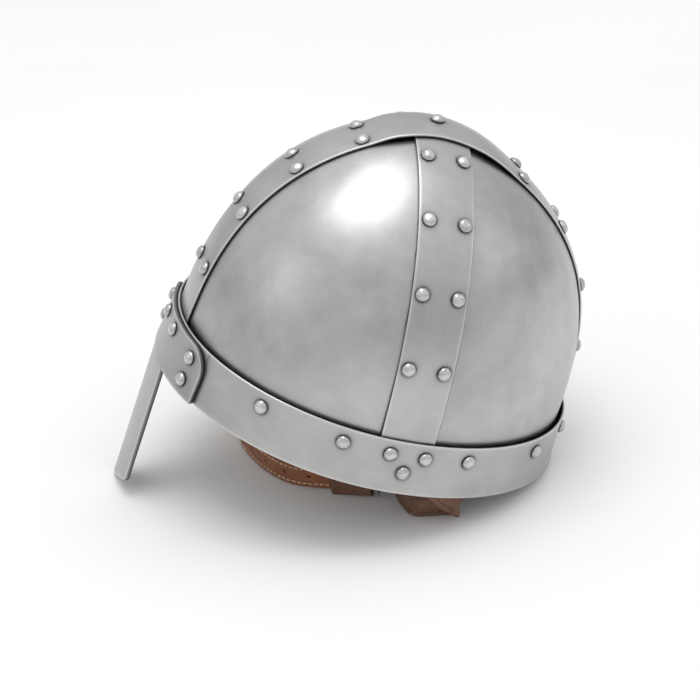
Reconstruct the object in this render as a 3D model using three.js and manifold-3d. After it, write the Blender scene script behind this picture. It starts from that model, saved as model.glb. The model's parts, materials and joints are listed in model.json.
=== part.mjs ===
// Spangenhelm helmet: a bowl of four steel plates under a crest band, a cross band and a brow band, with a
// nasal plate, domed rivets and a leather chin strap. It lies on the tip of its nasal and the rear of its rim.
// Millimetres, +Z up. The face looks towards -X and the wearer's left side lies towards -Y.

import * as THREE from 'three';
import { mergeVertices } from 'three/addons/utils/BufferGeometryUtils.js';
import Module from 'manifold-3d';

const wasm = await Module();
wasm.setup();

// Bowl, measured on the outside of its plates
const frontReach = 108;
const rearReach = 123.5;
const halfWidth = 103.3;
const crownHeight = 173;
const frontBend = { rise: 2.97, reach: 0.66 };
const sideBend = { rise: 3.1, reach: 0.645 };
const rearBend = { rise: 3.17, reach: 0.632 };
const rimFlare = 2;
const plateThickness = 1.5;
const plateFoot = 4;
const plateLap = 9;
const plateTopTucks = 2.3;
const clearance = 0.35;

// Bands
const bandThickness = 1.5;
const bandFoot = 4;
const crestWidth = 31.2;
const crossWidth = 31.2;
const crossFoot = 10.4;
const crossLean = 0.072;
const crestRest = 7;
const crestEase = { front: 18, rear: 34 };
const browHeight = 31.2;

// Nasal plate, with the bar that hangs from it
const nasalThickness = 2.4;
const nasalSpan = 94;
const nasalCorner = 14;
const nasalInset = 0.8;
const nasalShift = -3;
const barWidth = 29;
const barDrop = 84;
const barLean = 0.005;
const barCut = 14;
const barRound = 2;
const barRoundSlope = 0.8;

// Rivets: the heads, and where they sit
const rivetRadius = 4;
const rivetHeight = 3.2;
const rivetSeat = 0.3;
const rivetSink = 0.7;
const crestRivetOffset = 10;
const crestRivetsFront = { first: 43.2, pitch: 38.9 };
const crestRivetsRear = { first: 57.5, pitch: 39.7 };
const crestRivetPairs = 4;
const crownRivetForward = 1.2;
const crossRivetOffset = 10;
const crossRivetsLeft = { first: 30.2, pitch: 40.4 };
const crossRivetsRight = { first: 46, pitch: 35.1 };
const crossRivetPairs = 4;
const browRivetHeight = 22.8;
const browRivetAngles = [51.1, 76.4, 112.1, 138.6, 162];
const anchorRivetHeight = 12.8;
const nasalRivetSide = 36;
const nasalRivetUpper = 21.8;
const nasalRivetLower = 8;
const nasalRivetMiddle = 10.5;
const nasalRivetMiddleHeight = 23.8;

// Chin strap
const strapWidth = 16;
const leather = 2.6;
const strapGap = 0.6;
const strapSeat = 1;
const strapTail = 6;
const strapHug = 8;
const floorGap = 0.5;
const holeRadius = 1.3;
const holePitch = 17;
const holeCount = 5;
const holeFirst = 46;
const keeperLength = 24;
const keeperLeather = 2;
const buckleWire = 2.4;
const buckleSlack = 0.5;

// Facets, and the counts of the searches that follow the bowl
const hoopSteps = 60;
const browRows = 2;
const plateColumns = 10;
const plateRows = 12;
const plateRowCrowding = 1.25;
const crestSteps = 48;
const crossSteps = 40;
const bandColumns = 4;
const barRows = 7;
const nasalRows = 3;
const nasalCornerSteps = 4;
const rivetSides = 10;
const holeSides = 8;
const strapSteps = 34;
const strapRows = 2;
const keeperSteps = 6;
const besideSteps = 5;
const lineSamples = 64;
const halvings = 50;

// Layers: how far the inner face of each piece stands off the plates
const bandLayer = clearance;
const bandFace = bandLayer + bandThickness;
const browLayer = bandFace + clearance;
const browFace = browLayer + bandThickness;
const nasalLayer = browFace + clearance;
const nasalFace = nasalLayer + nasalThickness;

const steel = () => new THREE.MeshStandardMaterial({ color: 0x9fa09e, roughness: 0.34, metalness: 1 });
const tan = () => new THREE.MeshStandardMaterial({ color: 0x8d4c2a, roughness: 0.6, metalness: 0 });
const brown = () => new THREE.MeshStandardMaterial({ color: 0x4c2c1d, roughness: 0.62, metalness: 0 });

// The bowl's reach along one way, as a share of that at the rim, at a height given as a share of the crown's
function reachShare(rise, bend) {
  return Math.max(0, 1 - Math.max(0, rise) ** bend.rise) ** bend.reach;
}

// The slight flare of the bowl towards its rim
function flareShare(z) {
  return 1 + (rimFlare / halfWidth) * Math.min(1, Math.max(0, 1 - z / browHeight)) ** 2;
}

// Half lengths of the bowl at a height: forwards or backwards, and sideways
function reaches(z, isFront) {
  const rise = z / crownHeight;
  const flare = flareShare(z);
  const along = isFront ? frontReach * reachShare(rise, frontBend) : rearReach * reachShare(rise, rearBend);
  return { along: along * flare, aside: halfWidth * reachShare(rise, sideBend) * flare };
}

// A point on the bowl: angle 0 is the front, a quarter turn the wearer's left
function bowlPoint(angle, z) {
  const { along, aside } = reaches(z, Math.cos(angle) > 0);
  return new THREE.Vector3(-along * Math.cos(angle), -aside * Math.sin(angle), z);
}

// Positive outside the bowl, negative inside it, and zero on it: the radius left over, as a share of halfWidth
function outsideBowl(point) {
  const { along, aside } = reaches(point.z, point.x < 0);
  if (aside === 0) return Math.hypot(point.x, point.y) / halfWidth + point.z / crownHeight - 1 + Number.EPSILON;
  const radius = Math.hypot((point.x * aside) / along, point.y);
  return (radius - aside) / halfWidth;
}

// The way out of the bowl at a point on it, from the slope of the rule above
function bowlNormal(point) {
  const step = 0.01;
  const slope = new THREE.Vector3();
  for (const axis of ['x', 'y', 'z']) {
    const ahead = point.clone();
    const behind = point.clone();
    ahead[axis] += step;
    behind[axis] -= step;
    slope[axis] = outsideBowl(ahead) - outsideBowl(behind);
  }
  return slope.normalize();
}

// Slides a point along a direction until it lies on the bowl
function ontoBowl(start, direction) {
  let inner = -halfWidth / 2;
  let outer = halfWidth / 2;
  for (let round = 0; round < halvings; round += 1) {
    const middle = (inner + outer) / 2;
    if (outsideBowl(start.clone().addScaledVector(direction, middle)) > 0) outer = middle;
    else inner = middle;
  }
  return start.clone().addScaledVector(direction, inner);
}

function standOff(point, distance) {
  return point.clone().addScaledVector(bowlNormal(point), distance);
}

// As above but level, for what stands upright round the rim
function standOffLevel(point, distance) {
  const normal = bowlNormal(point).setZ(0).normalize();
  return point.clone().addScaledVector(normal, distance);
}

// Signed volume of an indexed shape, negative where it is inside out
function signedVolume(points, faces) {
  let sum = 0;
  for (let k = 0; k < faces.length; k += 3) {
    const [a, b, c] = [points[faces[k]], points[faces[k + 1]], points[faces[k + 2]]];
    sum += a.dot(b.clone().cross(c)) / 6;
  }
  return sum;
}

function closedShape(points, faces) {
  const turned = signedVolume(points, faces) < 0 ? faces.slice().reverse() : faces;
  const shape = new THREE.BufferGeometry();
  shape.setAttribute('position', new THREE.Float32BufferAttribute(points.flatMap((p) => p.toArray()), 3));
  shape.setIndex(turned);
  return shape;
}

// A sheet of metal or leather: face(i, j, 0) is its outer grid of points and face(i, j, 1) its inner one.
// Cells that keep() refuses are left out, and a hoop joins its last column to its first.
function sheet(columns, rows, face, { hoop = false, keep = () => true } = {}) {
  const across = hoop ? columns : columns + 1;
  const points = [];
  for (const layer of [0, 1]) {
    for (let j = 0; j <= rows; j += 1) {
      for (let i = 0; i < across; i += 1) points.push(face(i, j, layer));
    }
  }
  const at = (layer, i, j) => (layer * (rows + 1) + j) * across + (i % across);
  const kept = (i, j) => {
    if (j < 0 || j >= rows) return false;
    if (!hoop && (i < 0 || i >= columns)) return false;
    return keep((i + columns) % columns, j);
  };
  const faces = [];
  const quad = (a, b, c, d) => faces.push(a, b, c, a, c, d);
  const wall = ([i, j], [k, l]) => quad(at(0, k, l), at(0, i, j), at(1, i, j), at(1, k, l));
  for (let j = 0; j < rows; j += 1) {
    for (let i = 0; i < columns; i += 1) {
      if (!kept(i, j)) continue;
      quad(at(0, i, j), at(0, i + 1, j), at(0, i + 1, j + 1), at(0, i, j + 1));
      quad(at(1, i, j), at(1, i, j + 1), at(1, i + 1, j + 1), at(1, i + 1, j));
      if (!kept(i, j - 1)) wall([i, j], [i + 1, j]);
      if (!kept(i + 1, j)) wall([i + 1, j], [i + 1, j + 1]);
      if (!kept(i, j + 1)) wall([i + 1, j + 1], [i, j + 1]);
      if (!kept(i - 1, j)) wall([i, j + 1], [i, j]);
    }
  }
  return closedShape(points, faces);
}

function solidOf(geometry) {
  const bare = geometry.clone();
  bare.deleteAttribute('normal');
  bare.deleteAttribute('uv');
  const merged = mergeVertices(bare, 1e-4);
  const corners = [];
  for (let k = 0; k < merged.index.count; k += 3) {
    const [a, b, c] = [0, 1, 2].map((n) => merged.index.getX(k + n));
    if (a !== b && b !== c && c !== a) corners.push(a, b, c);
  }
  const vertProperties = new Float32Array(merged.attributes.position.array);
  return new wasm.Manifold(new wasm.Mesh({ numProp: 3, vertProperties, triVerts: new Uint32Array(corners) }));
}

function geometryOf(solid) {
  const { vertProperties, triVerts } = solid.getMesh();
  const geometry = new THREE.BufferGeometry();
  geometry.setAttribute('position', new THREE.BufferAttribute(new Float32Array(vertProperties), 3));
  geometry.setIndex(new THREE.BufferAttribute(new Uint32Array(triVerts), 1));
  return geometry;
}

function named(name, geometry, material) {
  const mesh = new THREE.Mesh(geometry.index ? geometry.toNonIndexed() : geometry, material);
  mesh.geometry.computeVertexNormals();
  mesh.name = name;
  return mesh;
}

const across = (share, width) => (share - 0.5) * width;

// The line of a band over the bowl, from one foot over the crown to the other foot
function bandLine(foot, side, up) {
  const samples = [];
  for (let k = 0; k <= lineSamples; k += 1) {
    const turn = (Math.PI * k) / lineSamples;
    const ray = side.clone().multiplyScalar(Math.cos(turn)).addScaledVector(up, Math.sin(turn));
    let near = 0;
    let far = 2 * crownHeight;
    for (let round = 0; round < halvings; round += 1) {
      const middle = (near + far) / 2;
      if (outsideBowl(foot.clone().addScaledVector(ray, middle)) > 0) far = middle;
      else near = middle;
    }
    samples.push(foot.clone().addScaledVector(ray, near));
  }
  return new THREE.CatmullRomCurve3(samples);
}

function bandPoint(line, crosswise, share, offset) {
  const spine = line.getPointAt(share);
  const start = spine.clone().addScaledVector(crosswise, offset);
  return ontoBowl(start, bowlNormal(spine));
}

const crestLine = bandLine(
  new THREE.Vector3((rearReach - frontReach) / 2, 0, bandFoot),
  new THREE.Vector3(-1, 0, 0),
  new THREE.Vector3(0, 0, 1),
);
const crestCrosswise = new THREE.Vector3(0, 1, 0);
const crossLine = bandLine(
  new THREE.Vector3(crossFoot, 0, bandFoot),
  new THREE.Vector3(0, -1, 0),
  new THREE.Vector3(-crossLean, 0, 1).normalize(),
);
const crossCrosswise = new THREE.Vector3(1, 0, crossLean).normalize();
const crownX = crossFoot - crossLean * (crownHeight - bandFoot);

// How far the crest band rises to pass over the cross band
function crestLift(x) {
  const away = Math.abs(x - crownX) - crossWidth / 2 - crestRest;
  const ease = x < crownX ? crestEase.front : crestEase.rear;
  return bandFace * (1 - THREE.MathUtils.smoothstep(away, 0, ease));
}

// One quarter of the bowl, tucked under the crest band, the cross band and the brow band
function plate(name, isFront, isLeft) {
  const crestTuck = crestWidth / 2 - plateLap;
  const crossTuck = crossWidth / 2 - plateLap;
  const topShare = (Math.max(crestTuck, crossTuck) * plateTopTucks) / halfWidth;
  const topHeight = crownHeight * (1 - topShare ** (1 / sideBend.reach)) ** (1 / sideBend.rise);
  const point = (i, j, layer) => {
    const along = 1 - (1 - j / plateRows) ** plateRowCrowding;
    const z = plateFoot + (topHeight - plateFoot) * along;
    const { along: reach, aside } = reaches(z, isFront);
    const crossX = crossFoot - crossLean * (z - bandFoot);
    const crossSide = isFront ? crossTuck - crossX : crossTuck + crossX;
    const crestEdge = Math.asin(crestTuck / aside);
    const crossEdge = Math.acos(THREE.MathUtils.clamp(crossSide / reach, -1, 1));
    const turn = THREE.MathUtils.lerp(crestEdge, crossEdge, i / plateColumns);
    const fromFront = isFront ? turn : Math.PI - turn;
    const onBowl = bowlPoint(isLeft ? fromFront : -fromFront, z);
    return standOff(onBowl, layer === 0 ? 0 : -plateThickness);
  };
  return named(name, sheet(plateColumns, plateRows, point), steel());
}

function band(name, line, crosswise, width, steps, lift) {
  const point = (i, j, layer) => {
    const onBowl = bandPoint(line, crosswise, j / steps, across(i / bandColumns, width));
    const rise = lift(onBowl.x);
    return standOff(onBowl, rise + (layer === 0 ? bandFace : bandLayer));
  };
  return named(name, sheet(bandColumns, steps, point), steel());
}

// Half section of a domed rivet head, as shares of its radius and height
const rivetProfile = [
  { out: 0, up: 0 },
  { out: 1, up: 0 },
  { out: 0.95, up: 0.35 },
  { out: 0.62, up: 0.82 },
  { out: 0, up: 1 },
];

// Rivet head with its foot at the origin and its crown along +Y
function rivetHead() {
  const profile = rivetProfile.map(({ out, up }) => new THREE.Vector2(out * rivetRadius, up * rivetHeight));
  return new THREE.LatheGeometry(profile, rivetSides);
}

function seatHead(object, foot, normal) {
  object.position.copy(foot);
  object.quaternion.setFromUnitVectors(new THREE.Vector3(0, 1, 0), normal);
  return object;
}

// Head on a band or plate whose outer face stands off the bowl by the given distance
function rivet(name, onBowl, face, stand = standOff) {
  const normal = bowlNormal(onBowl);
  const foot = stand(onBowl, face).addScaledVector(normal, rivetSeat);
  return seatHead(named(name, rivetHead(), steel()), foot, normal);
}

const radians = THREE.MathUtils.degToRad;
const angleOfX = (x) => Math.acos(-x / (x < 0 ? frontReach : rearReach));
const anchorAngle = angleOfX(crossFoot);

// Brow band: a level hoop, with its rivets fused to it
function browBand() {
  const point = (i, j, layer) => {
    const onBowl = bowlPoint(((i + 0.5) / hoopSteps) * 2 * Math.PI, (browHeight * j) / browRows);
    return standOffLevel(onBowl, layer === 0 ? browFace : browLayer);
  };
  let solid = solidOf(sheet(hoopSteps, browRows, point, { hoop: true }));
  const upper = browRivetAngles.map(radians);
  upper.push(angleOfX(crossFoot - crossRivetOffset), angleOfX(crossFoot + crossRivetOffset));
  const places = upper.map((angle) => [angle, browRivetHeight]);
  places.push([anchorAngle, anchorRivetHeight]);
  for (const side of [1, -1]) {
    for (const [angle, z] of places) {
      const onBowl = bowlPoint(side * angle, z);
      const normal = bowlNormal(onBowl);
      const foot = standOffLevel(onBowl, browFace).addScaledVector(normal, -rivetSink);
      const head = seatHead(new THREE.Object3D(), foot, normal);
      head.updateMatrix();
      solid = solid.add(solidOf(rivetHead().applyMatrix4(head.matrix)));
    }
  }
  return named('brow_band', geometryOf(solid), steel());
}

const nasalAngle = (y) => -Math.asin((nasalShift + y) / halfWidth);

// A point of the nasal at a distance y from its middle: on the brow band above the rim, hanging down below it
function nasalPoint(y, z, face) {
  const angle = nasalAngle(y);
  const onRim = standOffLevel(bowlPoint(angle, Math.max(z, 0)), face);
  const below = Math.min(z, 0);
  return onRim.setZ(z).add(new THREE.Vector3(barLean * below, 0, 0));
}

function nasalTop(y) {
  const past = Math.abs(y) - (nasalSpan / 2 - nasalCorner);
  const drop = past > 0 ? nasalCorner - Math.sqrt(Math.max(0, nasalCorner ** 2 - past ** 2)) : 0;
  return browHeight - nasalInset - drop;
}

function barTip(y) {
  const past = Math.abs(y) - (barWidth / 2 - barRound);
  return -barDrop - (barCut * y) / barWidth + Math.max(0, past) * barRoundSlope;
}

function nasalPlate() {
  const half = nasalSpan / 2;
  const bar = barWidth / 2;
  const shoulder = half - nasalCorner;
  const right = [bar - barRound, bar, (bar + shoulder) / 2, shoulder];
  for (let step = 1; step <= nasalCornerSteps; step += 1) {
    right.push(shoulder + nasalCorner * Math.sin((step * Math.PI) / (2 * nasalCornerSteps)));
  }
  const sides = [...right.map((y) => -y).reverse(), 0, ...right];
  const point = (i, j, layer) => {
    const y = sides[i];
    const z = j <= barRows ? barTip(y) * (1 - j / barRows) : (nasalTop(y) * (j - barRows)) / nasalRows;
    return nasalPoint(y, z, layer === 0 ? nasalFace : nasalLayer);
  };
  const inBar = (i) => Math.abs(sides[i] + sides[i + 1]) / 2 < bar;
  const keep = (i, j) => j >= barRows || inBar(i);
  return named('nasal_plate', sheet(sides.length - 1, barRows + nasalRows, point, { keep }), steel());
}

// Everything of steel, upright, with the rim's level at z = 0
const upright = new THREE.Group();
for (const [end, isFront] of [['front', true], ['rear', false]]) {
  for (const [hand, isLeft] of [['left', true], ['right', false]]) {
    upright.add(plate(`plate_${end}_${hand}`, isFront, isLeft));
  }
}
upright.add(band('cross_band', crossLine, crossCrosswise, crossWidth, crossSteps, () => 0));
upright.add(band('crest_band', crestLine, crestCrosswise, crestWidth, crestSteps, crestLift));
upright.add(browBand());
upright.add(nasalPlate());

// The share along a band's line at which it passes a place from front to rear
function shareAtX(line, x) {
  let [low, high] = [0.2, 0.8];
  for (let round = 0; round < halvings; round += 1) {
    const middle = (low + high) / 2;
    if (line.getPointAt(middle).x < x) low = middle;
    else high = middle;
  }
  return low;
}
const crestLength = crestLine.getLength();
const crossLength = crossLine.getLength();
const crownShare = shareAtX(crestLine, crownX - crownRivetForward);

// Rivets of the crest band, in pairs from the crown down to the front and to the rear
for (const [end, way, { first, pitch }] of [['front', -1, crestRivetsFront], ['rear', 1, crestRivetsRear]]) {
  for (let pair = 0; pair < crestRivetPairs; pair += 1) {
    const share = crownShare + (way * (first + pair * pitch)) / crestLength;
    for (const [hand, side] of [['left', -1], ['right', 1]]) {
      const onBowl = bandPoint(crestLine, crestCrosswise, share, side * crestRivetOffset);
      const face = bandFace + crestLift(onBowl.x);
      upright.add(rivet(`rivet_crest_${end}_${hand}_${pair + 1}`, onBowl, face));
    }
  }
}
const crown = crestLine.getPointAt(crownShare);
upright.add(rivet('rivet_crown', crown, bandFace + crestLift(crown.x)));

// Rivets of the cross band, in pairs from the crown down to each ear
for (const [hand, way, row] of [['left', -1, crossRivetsLeft], ['right', 1, crossRivetsRight]]) {
  for (let pair = 0; pair < crossRivetPairs; pair += 1) {
    const share = 0.5 + (way * (row.first + pair * row.pitch)) / crossLength;
    for (const [end, side] of [['front', -1], ['rear', 1]]) {
      const onBowl = bandPoint(crossLine, crossCrosswise, share, side * crossRivetOffset);
      upright.add(rivet(`rivet_cross_${hand}_${end}_${pair + 1}`, onBowl, bandFace));
    }
  }
}

// Rivets of the nasal plate: one row across its top, and one below each end of that row
for (const [hand, side] of [['left', -1], ['right', 1]]) {
  const places = [
    ['upper', nasalRivetSide, nasalRivetUpper],
    ['lower', nasalRivetSide, nasalRivetLower],
    ['middle', nasalRivetMiddle, nasalRivetMiddleHeight],
  ];
  for (const [row, y, z] of places) {
    const onBowl = bowlPoint(nasalAngle(side * y), z);
    upright.add(rivet(`rivet_nasal_${hand}_${row}`, onBowl, nasalFace, standOffLevel));
  }
}

// The helmet leans back until it lies on three points: the lower corner of the nasal's tip, and two corners
// of the rim's hoop just left of its rear
const rimCorner = (steps) => standOffLevel(bowlPoint(Math.PI * (1 - (2 * steps) / hoopSteps), 0), browFace);
const tipSide = barWidth / 2 - barRound;
const supports = [nasalPoint(tipSide, barTip(tipSide), nasalLayer), rimCorner(0.5), rimCorner(1.5)];
const floorNormal = supports[1].clone().sub(supports[0]).cross(supports[2].clone().sub(supports[0])).normalize();
if (floorNormal.z < 0) floorNormal.negate();
upright.quaternion.setFromUnitVectors(floorNormal, new THREE.Vector3(0, 0, 1));
upright.position.z = -supports[1].clone().applyQuaternion(upright.quaternion).z;
upright.updateMatrix();

// Chin strap. Each row of a route gives a place of the strap's middle as shares of the bowl's half width
// (along, out) and of the strap's width (rise), and the lean of the strap's upper edge (leanX, leanY).
const billetRoute = [
  { along: -0.16, out: 0.92, rise: 1.75, leanX: -0.5, leanY: 0 },
  { along: -0.39, out: 0.8, rise: 0.8, leanX: -0.2, leanY: 0 },
  { along: -0.55, out: 0.58, rise: 0.53, leanX: 0, leanY: 0 },
  { along: -0.59, out: 0.3, rise: 0.53, leanX: 0, leanY: -0.1 },
  { along: -0.53, out: 0.03, rise: 0.53, leanX: 0, leanY: -0.15 },
  { along: -0.45, out: -0.145, rise: 0.53, leanX: 0, leanY: -0.2 },
  { along: -0.375, out: -0.245, rise: 0.53, leanX: 0, leanY: -0.2 },
  { along: -0.29, out: -0.315, rise: 0.58, leanX: 0, leanY: -0.2 },
  { along: -0.175, out: -0.38, rise: 0.66, leanX: 0, leanY: -0.15 },
  { along: -0.07, out: -0.43, rise: 0.72, leanX: 0, leanY: -0.15 },
  { along: 0.05, out: -0.49, rise: 0.75, leanX: 0, leanY: -0.3 },
  { along: 0.12, out: -0.525, rise: 0.79, leanX: 0, leanY: -0.45 },
];
const buckleRoute = [
  { along: 0.29, out: -0.935, rise: 2.1, leanX: 0.5, leanY: 0.1 },
  { along: 0.42, out: -0.86, rise: 1.05, leanX: 0.5, leanY: 0 },
  { along: 0.47, out: -0.83, rise: 0.7, leanX: 0.4, leanY: -0.1 },
  { along: 0.43, out: -0.785, rise: 0.55, leanX: 0.3, leanY: -0.2 },
  { along: 0.34, out: -0.775, rise: 0.54, leanX: 0.2, leanY: -0.25 },
  { along: 0.25, out: -0.75, rise: 0.54, leanX: 0.2, leanY: -0.25 },
  { along: 0.2, out: -0.64, rise: 0.6, leanX: 0.1, leanY: -0.3 },
  { along: 0.166, out: -0.508, rise: 0.77, leanX: 0, leanY: -0.45 },
];

function routeStation({ along, out, rise, leanX, leanY }) {
  const place = new THREE.Vector3(along * halfWidth, out * halfWidth, floorGap + rise * strapWidth);
  return { place, up: new THREE.Vector3(leanX, leanY, 1).normalize() };
}

// A run of strap: frames along its route, at equal steps of its length
function strapRun(stations) {
  const middle = new THREE.CatmullRomCurve3(stations.map(({ place }) => place), false, 'centripetal');
  const ups = new THREE.CatmullRomCurve3(stations.map(({ up }) => up), false, 'centripetal');
  const length = middle.getLength();
  const frame = (distance) => {
    const share = THREE.MathUtils.clamp(distance / length, 0, 1);
    const place = middle.getPointAt(share);
    const forward = middle.getTangentAt(share);
    const up = ups.getPoint(middle.getUtoTmapping(share));
    up.addScaledVector(forward, -up.dot(forward)).normalize();
    return { place, forward, up, out: forward.clone().cross(up) };
  };
  return { length, frame };
}

function strapPoint({ place, up, out }, high, deep) {
  return place.clone().addScaledVector(up, high).addScaledVector(out, deep);
}

function strapBody(run, steps) {
  const point = (i, j, layer) => {
    const high = across(j / strapRows, strapWidth);
    return strapPoint(run.frame((run.length * i) / steps), high, layer === 0 ? leather / 2 : -leather / 2);
  };
  return sheet(steps, strapRows, point);
}

// A place on the inner wall, a distance past the anchor rivet along a strap that slants down from it towards
// the front (heading -1) or the rear (heading 1)
function wallStation(side, heading, distance) {
  const slant = distance * Math.SQRT1_2;
  const angle = side * (anchorAngle + (heading * slant) / halfWidth);
  const onBowl = bowlPoint(angle, anchorRivetHeight - slant);
  const inward = -(plateThickness + strapSeat + leather / 2);
  const place = standOffLevel(onBowl, inward).applyMatrix4(upright.matrix);
  const level = bowlNormal(onBowl).setZ(0).normalize().cross(new THREE.Vector3(0, 0, -side * heading));
  const up = level.setZ(1).normalize().applyQuaternion(upright.quaternion);
  return { place, up };
}

const anchorStations = (side, heading) => [-strapTail, 0, strapHug].map((d) => wallStation(side, heading, d));

const billet = strapRun([...anchorStations(-1, -1), ...billetRoute.map(routeStation)]);

// The other half runs beside the billet, one thickness further in, until it passes the keeper
const overlap = keeperLength + strapTail * 2;
const beside = [];
for (let step = 1; step <= besideSteps; step += 1) {
  const frame = billet.frame(billet.length - (overlap * step) / besideSteps);
  beside.push({ place: strapPoint(frame, 0, -(leather + strapGap)), up: frame.up });
}
const buckleHalf = strapRun([...anchorStations(1, 1), ...buckleRoute.map(routeStation), ...beside]);

function frameMatrix({ forward, up, out, place }) {
  return new THREE.Matrix4().makeBasis(forward, up, out).setPosition(place);
}

function holePin() {
  return new THREE.CylinderGeometry(holeRadius, holeRadius, leather * 3, holeSides).rotateX(Math.PI / 2);
}

function billetStrap() {
  let solid = solidOf(strapBody(billet, strapSteps));
  for (let hole = 0; hole < holeCount; hole += 1) {
    const frame = billet.frame(billet.length - holeFirst - hole * holePitch);
    solid = solid.subtract(solidOf(holePin().applyMatrix4(frameMatrix(frame))));
  }
  return named('billet_strap', geometryOf(solid), tan());
}

// A ring round both thicknesses of strap, following the billet over a length of it
function strapRing(middle, length, wall, slack, steps) {
  const high = strapWidth / 2 + slack;
  const front = leather / 2 + slack;
  const back = -(leather * 1.5 + strapGap + slack);
  const corners = [
    [high, front, 1, 1],
    [-high, front, -1, 1],
    [-high, back, -1, -1],
    [high, back, 1, -1],
  ];
  const point = (i, j, layer) => {
    const frame = billet.frame(middle + across(j / steps, length));
    const [up, out, signUp, signOut] = corners[i % corners.length];
    const grow = layer === 0 ? wall : 0;
    return strapPoint(frame, up + signUp * grow, out + signOut * grow);
  };
  return sheet(corners.length, steps, point, { hoop: true });
}

const bucklePlace = billet.length - strapTail;
const keeperPlace = bucklePlace - keeperLength / 2 - buckleWire;

function strapKeeper() {
  return named('strap_keeper', strapRing(keeperPlace, keeperLength, keeperLeather, strapGap, keeperSteps), brown());
}

// Buckle: a square wire frame round the strap, with its tongue lying along the strap's face
function strapBuckle() {
  const frame = solidOf(strapRing(bucklePlace, buckleWire, buckleWire, buckleSlack, 1));
  const face = leather / 2 + buckleSlack + buckleWire / 2;
  const tongue = new THREE.BoxGeometry(buckleWire * 2, buckleWire, buckleWire / 2);
  tongue.translate(buckleWire, 0, face).applyMatrix4(frameMatrix(billet.frame(bucklePlace)));
  return named('strap_buckle', geometryOf(frame.add(solidOf(tongue))), steel());
}

const helmet = new THREE.Group();
helmet.add(upright);
helmet.add(billetStrap());
helmet.add(named('buckle_strap', strapBody(buckleHalf, strapSteps), brown()));
helmet.add(strapKeeper());
helmet.add(strapBuckle());

// The origin lies on the floor, under the middle of the whole object
const middle = new THREE.Box3().setFromObject(helmet, true).getCenter(new THREE.Vector3());
helmet.position.set(-middle.x, -middle.y, 0);

export default helmet;
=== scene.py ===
"""Spangenhelm helmet of riveted steel with a leather chin strap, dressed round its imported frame.

Shapes are worked out with numpy in millimetres. The steel is shaped upright, with its rim's level at z = 0,
and then leant back onto the floor as the frame's own rim and crown rivet say. The face looks towards -X and
the wearer's left side lies towards -Y.
"""

from __future__ import annotations

import json
import logging
import math
from collections.abc import Iterable
from dataclasses import dataclass, field
from enum import Enum
from typing import TypeAlias

import bpy
import numpy as np
from mathutils import Matrix, Vector

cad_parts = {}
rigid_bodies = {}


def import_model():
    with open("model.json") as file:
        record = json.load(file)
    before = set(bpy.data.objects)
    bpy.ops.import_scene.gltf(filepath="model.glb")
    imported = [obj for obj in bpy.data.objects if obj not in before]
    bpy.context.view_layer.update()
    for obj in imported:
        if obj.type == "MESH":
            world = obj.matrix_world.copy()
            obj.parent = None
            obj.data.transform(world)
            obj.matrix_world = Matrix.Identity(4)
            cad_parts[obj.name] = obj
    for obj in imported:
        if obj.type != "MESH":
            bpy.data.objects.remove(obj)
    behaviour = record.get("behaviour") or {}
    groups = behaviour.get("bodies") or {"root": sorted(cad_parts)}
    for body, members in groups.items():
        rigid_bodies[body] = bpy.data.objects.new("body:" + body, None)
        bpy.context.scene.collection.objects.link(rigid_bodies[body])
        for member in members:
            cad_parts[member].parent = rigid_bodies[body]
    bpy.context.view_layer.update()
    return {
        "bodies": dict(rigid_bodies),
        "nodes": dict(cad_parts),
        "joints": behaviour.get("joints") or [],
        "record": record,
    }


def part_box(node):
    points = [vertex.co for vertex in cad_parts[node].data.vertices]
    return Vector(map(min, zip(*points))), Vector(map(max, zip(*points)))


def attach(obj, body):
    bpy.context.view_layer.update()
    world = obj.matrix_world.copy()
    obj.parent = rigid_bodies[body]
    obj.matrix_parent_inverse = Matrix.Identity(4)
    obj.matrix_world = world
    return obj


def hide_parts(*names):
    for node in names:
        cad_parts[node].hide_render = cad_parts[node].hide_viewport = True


LOG = logging.getLogger("helmet")
MM = 0.001
BODY = "root"
UP = np.array([0.0, 0.0, 1.0])
LEVEL = np.array([1.0, 1.0, 0.0])
SIDEWAYS = np.array([0.0, 1.0, 0.0])
ASKEW = np.array([0.31, 0.9, 0.3])
TINY = 1e-9
KNOT_LEAST = 1e-6
FAR = 1e3
CORNER_STEPS = 4
NOISE_LOW, NOISE_HIGH = 0.3, 0.7
MIX_SHARE, MIX_FIRST, MIX_SECOND = 0, 6, 7
MIX_RESULT = 2

Feed: TypeAlias = "bpy.types.NodeSocket | float | tuple[float, ...]"
Seat: TypeAlias = "tuple[np.ndarray, np.ndarray]"


class End(Enum):
    """The two ends of the helmet, with their sign along X."""

    FRONT = -1
    REAR = 1


class Hand(Enum):
    """The wearer's two sides, with their sign along Y."""

    LEFT = -1
    RIGHT = 1


class Slot(Enum):
    """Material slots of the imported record."""

    PLATE = "plate_steel"
    BAND = "band_steel"
    RIVET = "rivet_steel"
    BUCKLE = "buckle_steel"
    TAN = "tan_leather"
    BROWN = "brown_leather"
    THREAD = "thread"


def unit(vectors: np.ndarray) -> np.ndarray:
    """Vectors scaled to length one along their last axis."""
    return vectors / np.linalg.norm(vectors, axis=-1, keepdims=True)


def smooth_step(values: np.ndarray) -> np.ndarray:
    """A share that eases in and out: 3t^2 - 2t^3 of the share held between 0 and 1."""
    share = np.clip(values, 0.0, 1.0)
    return share * share * (3.0 - 2.0 * share)


@dataclass(frozen=True)
class Trace:
    """A mark along a line, full up to a start past the line and dying away over a reach from there."""

    strength: float
    reach: float
    start: float = 0.0

    def at(self, distance: np.ndarray) -> np.ndarray:
        """The mark at distances past the line: strength times exp(-(distance - start) / reach)."""
        return np.exp(-np.maximum(distance - self.start, 0.0) / self.reach) * self.strength


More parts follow.
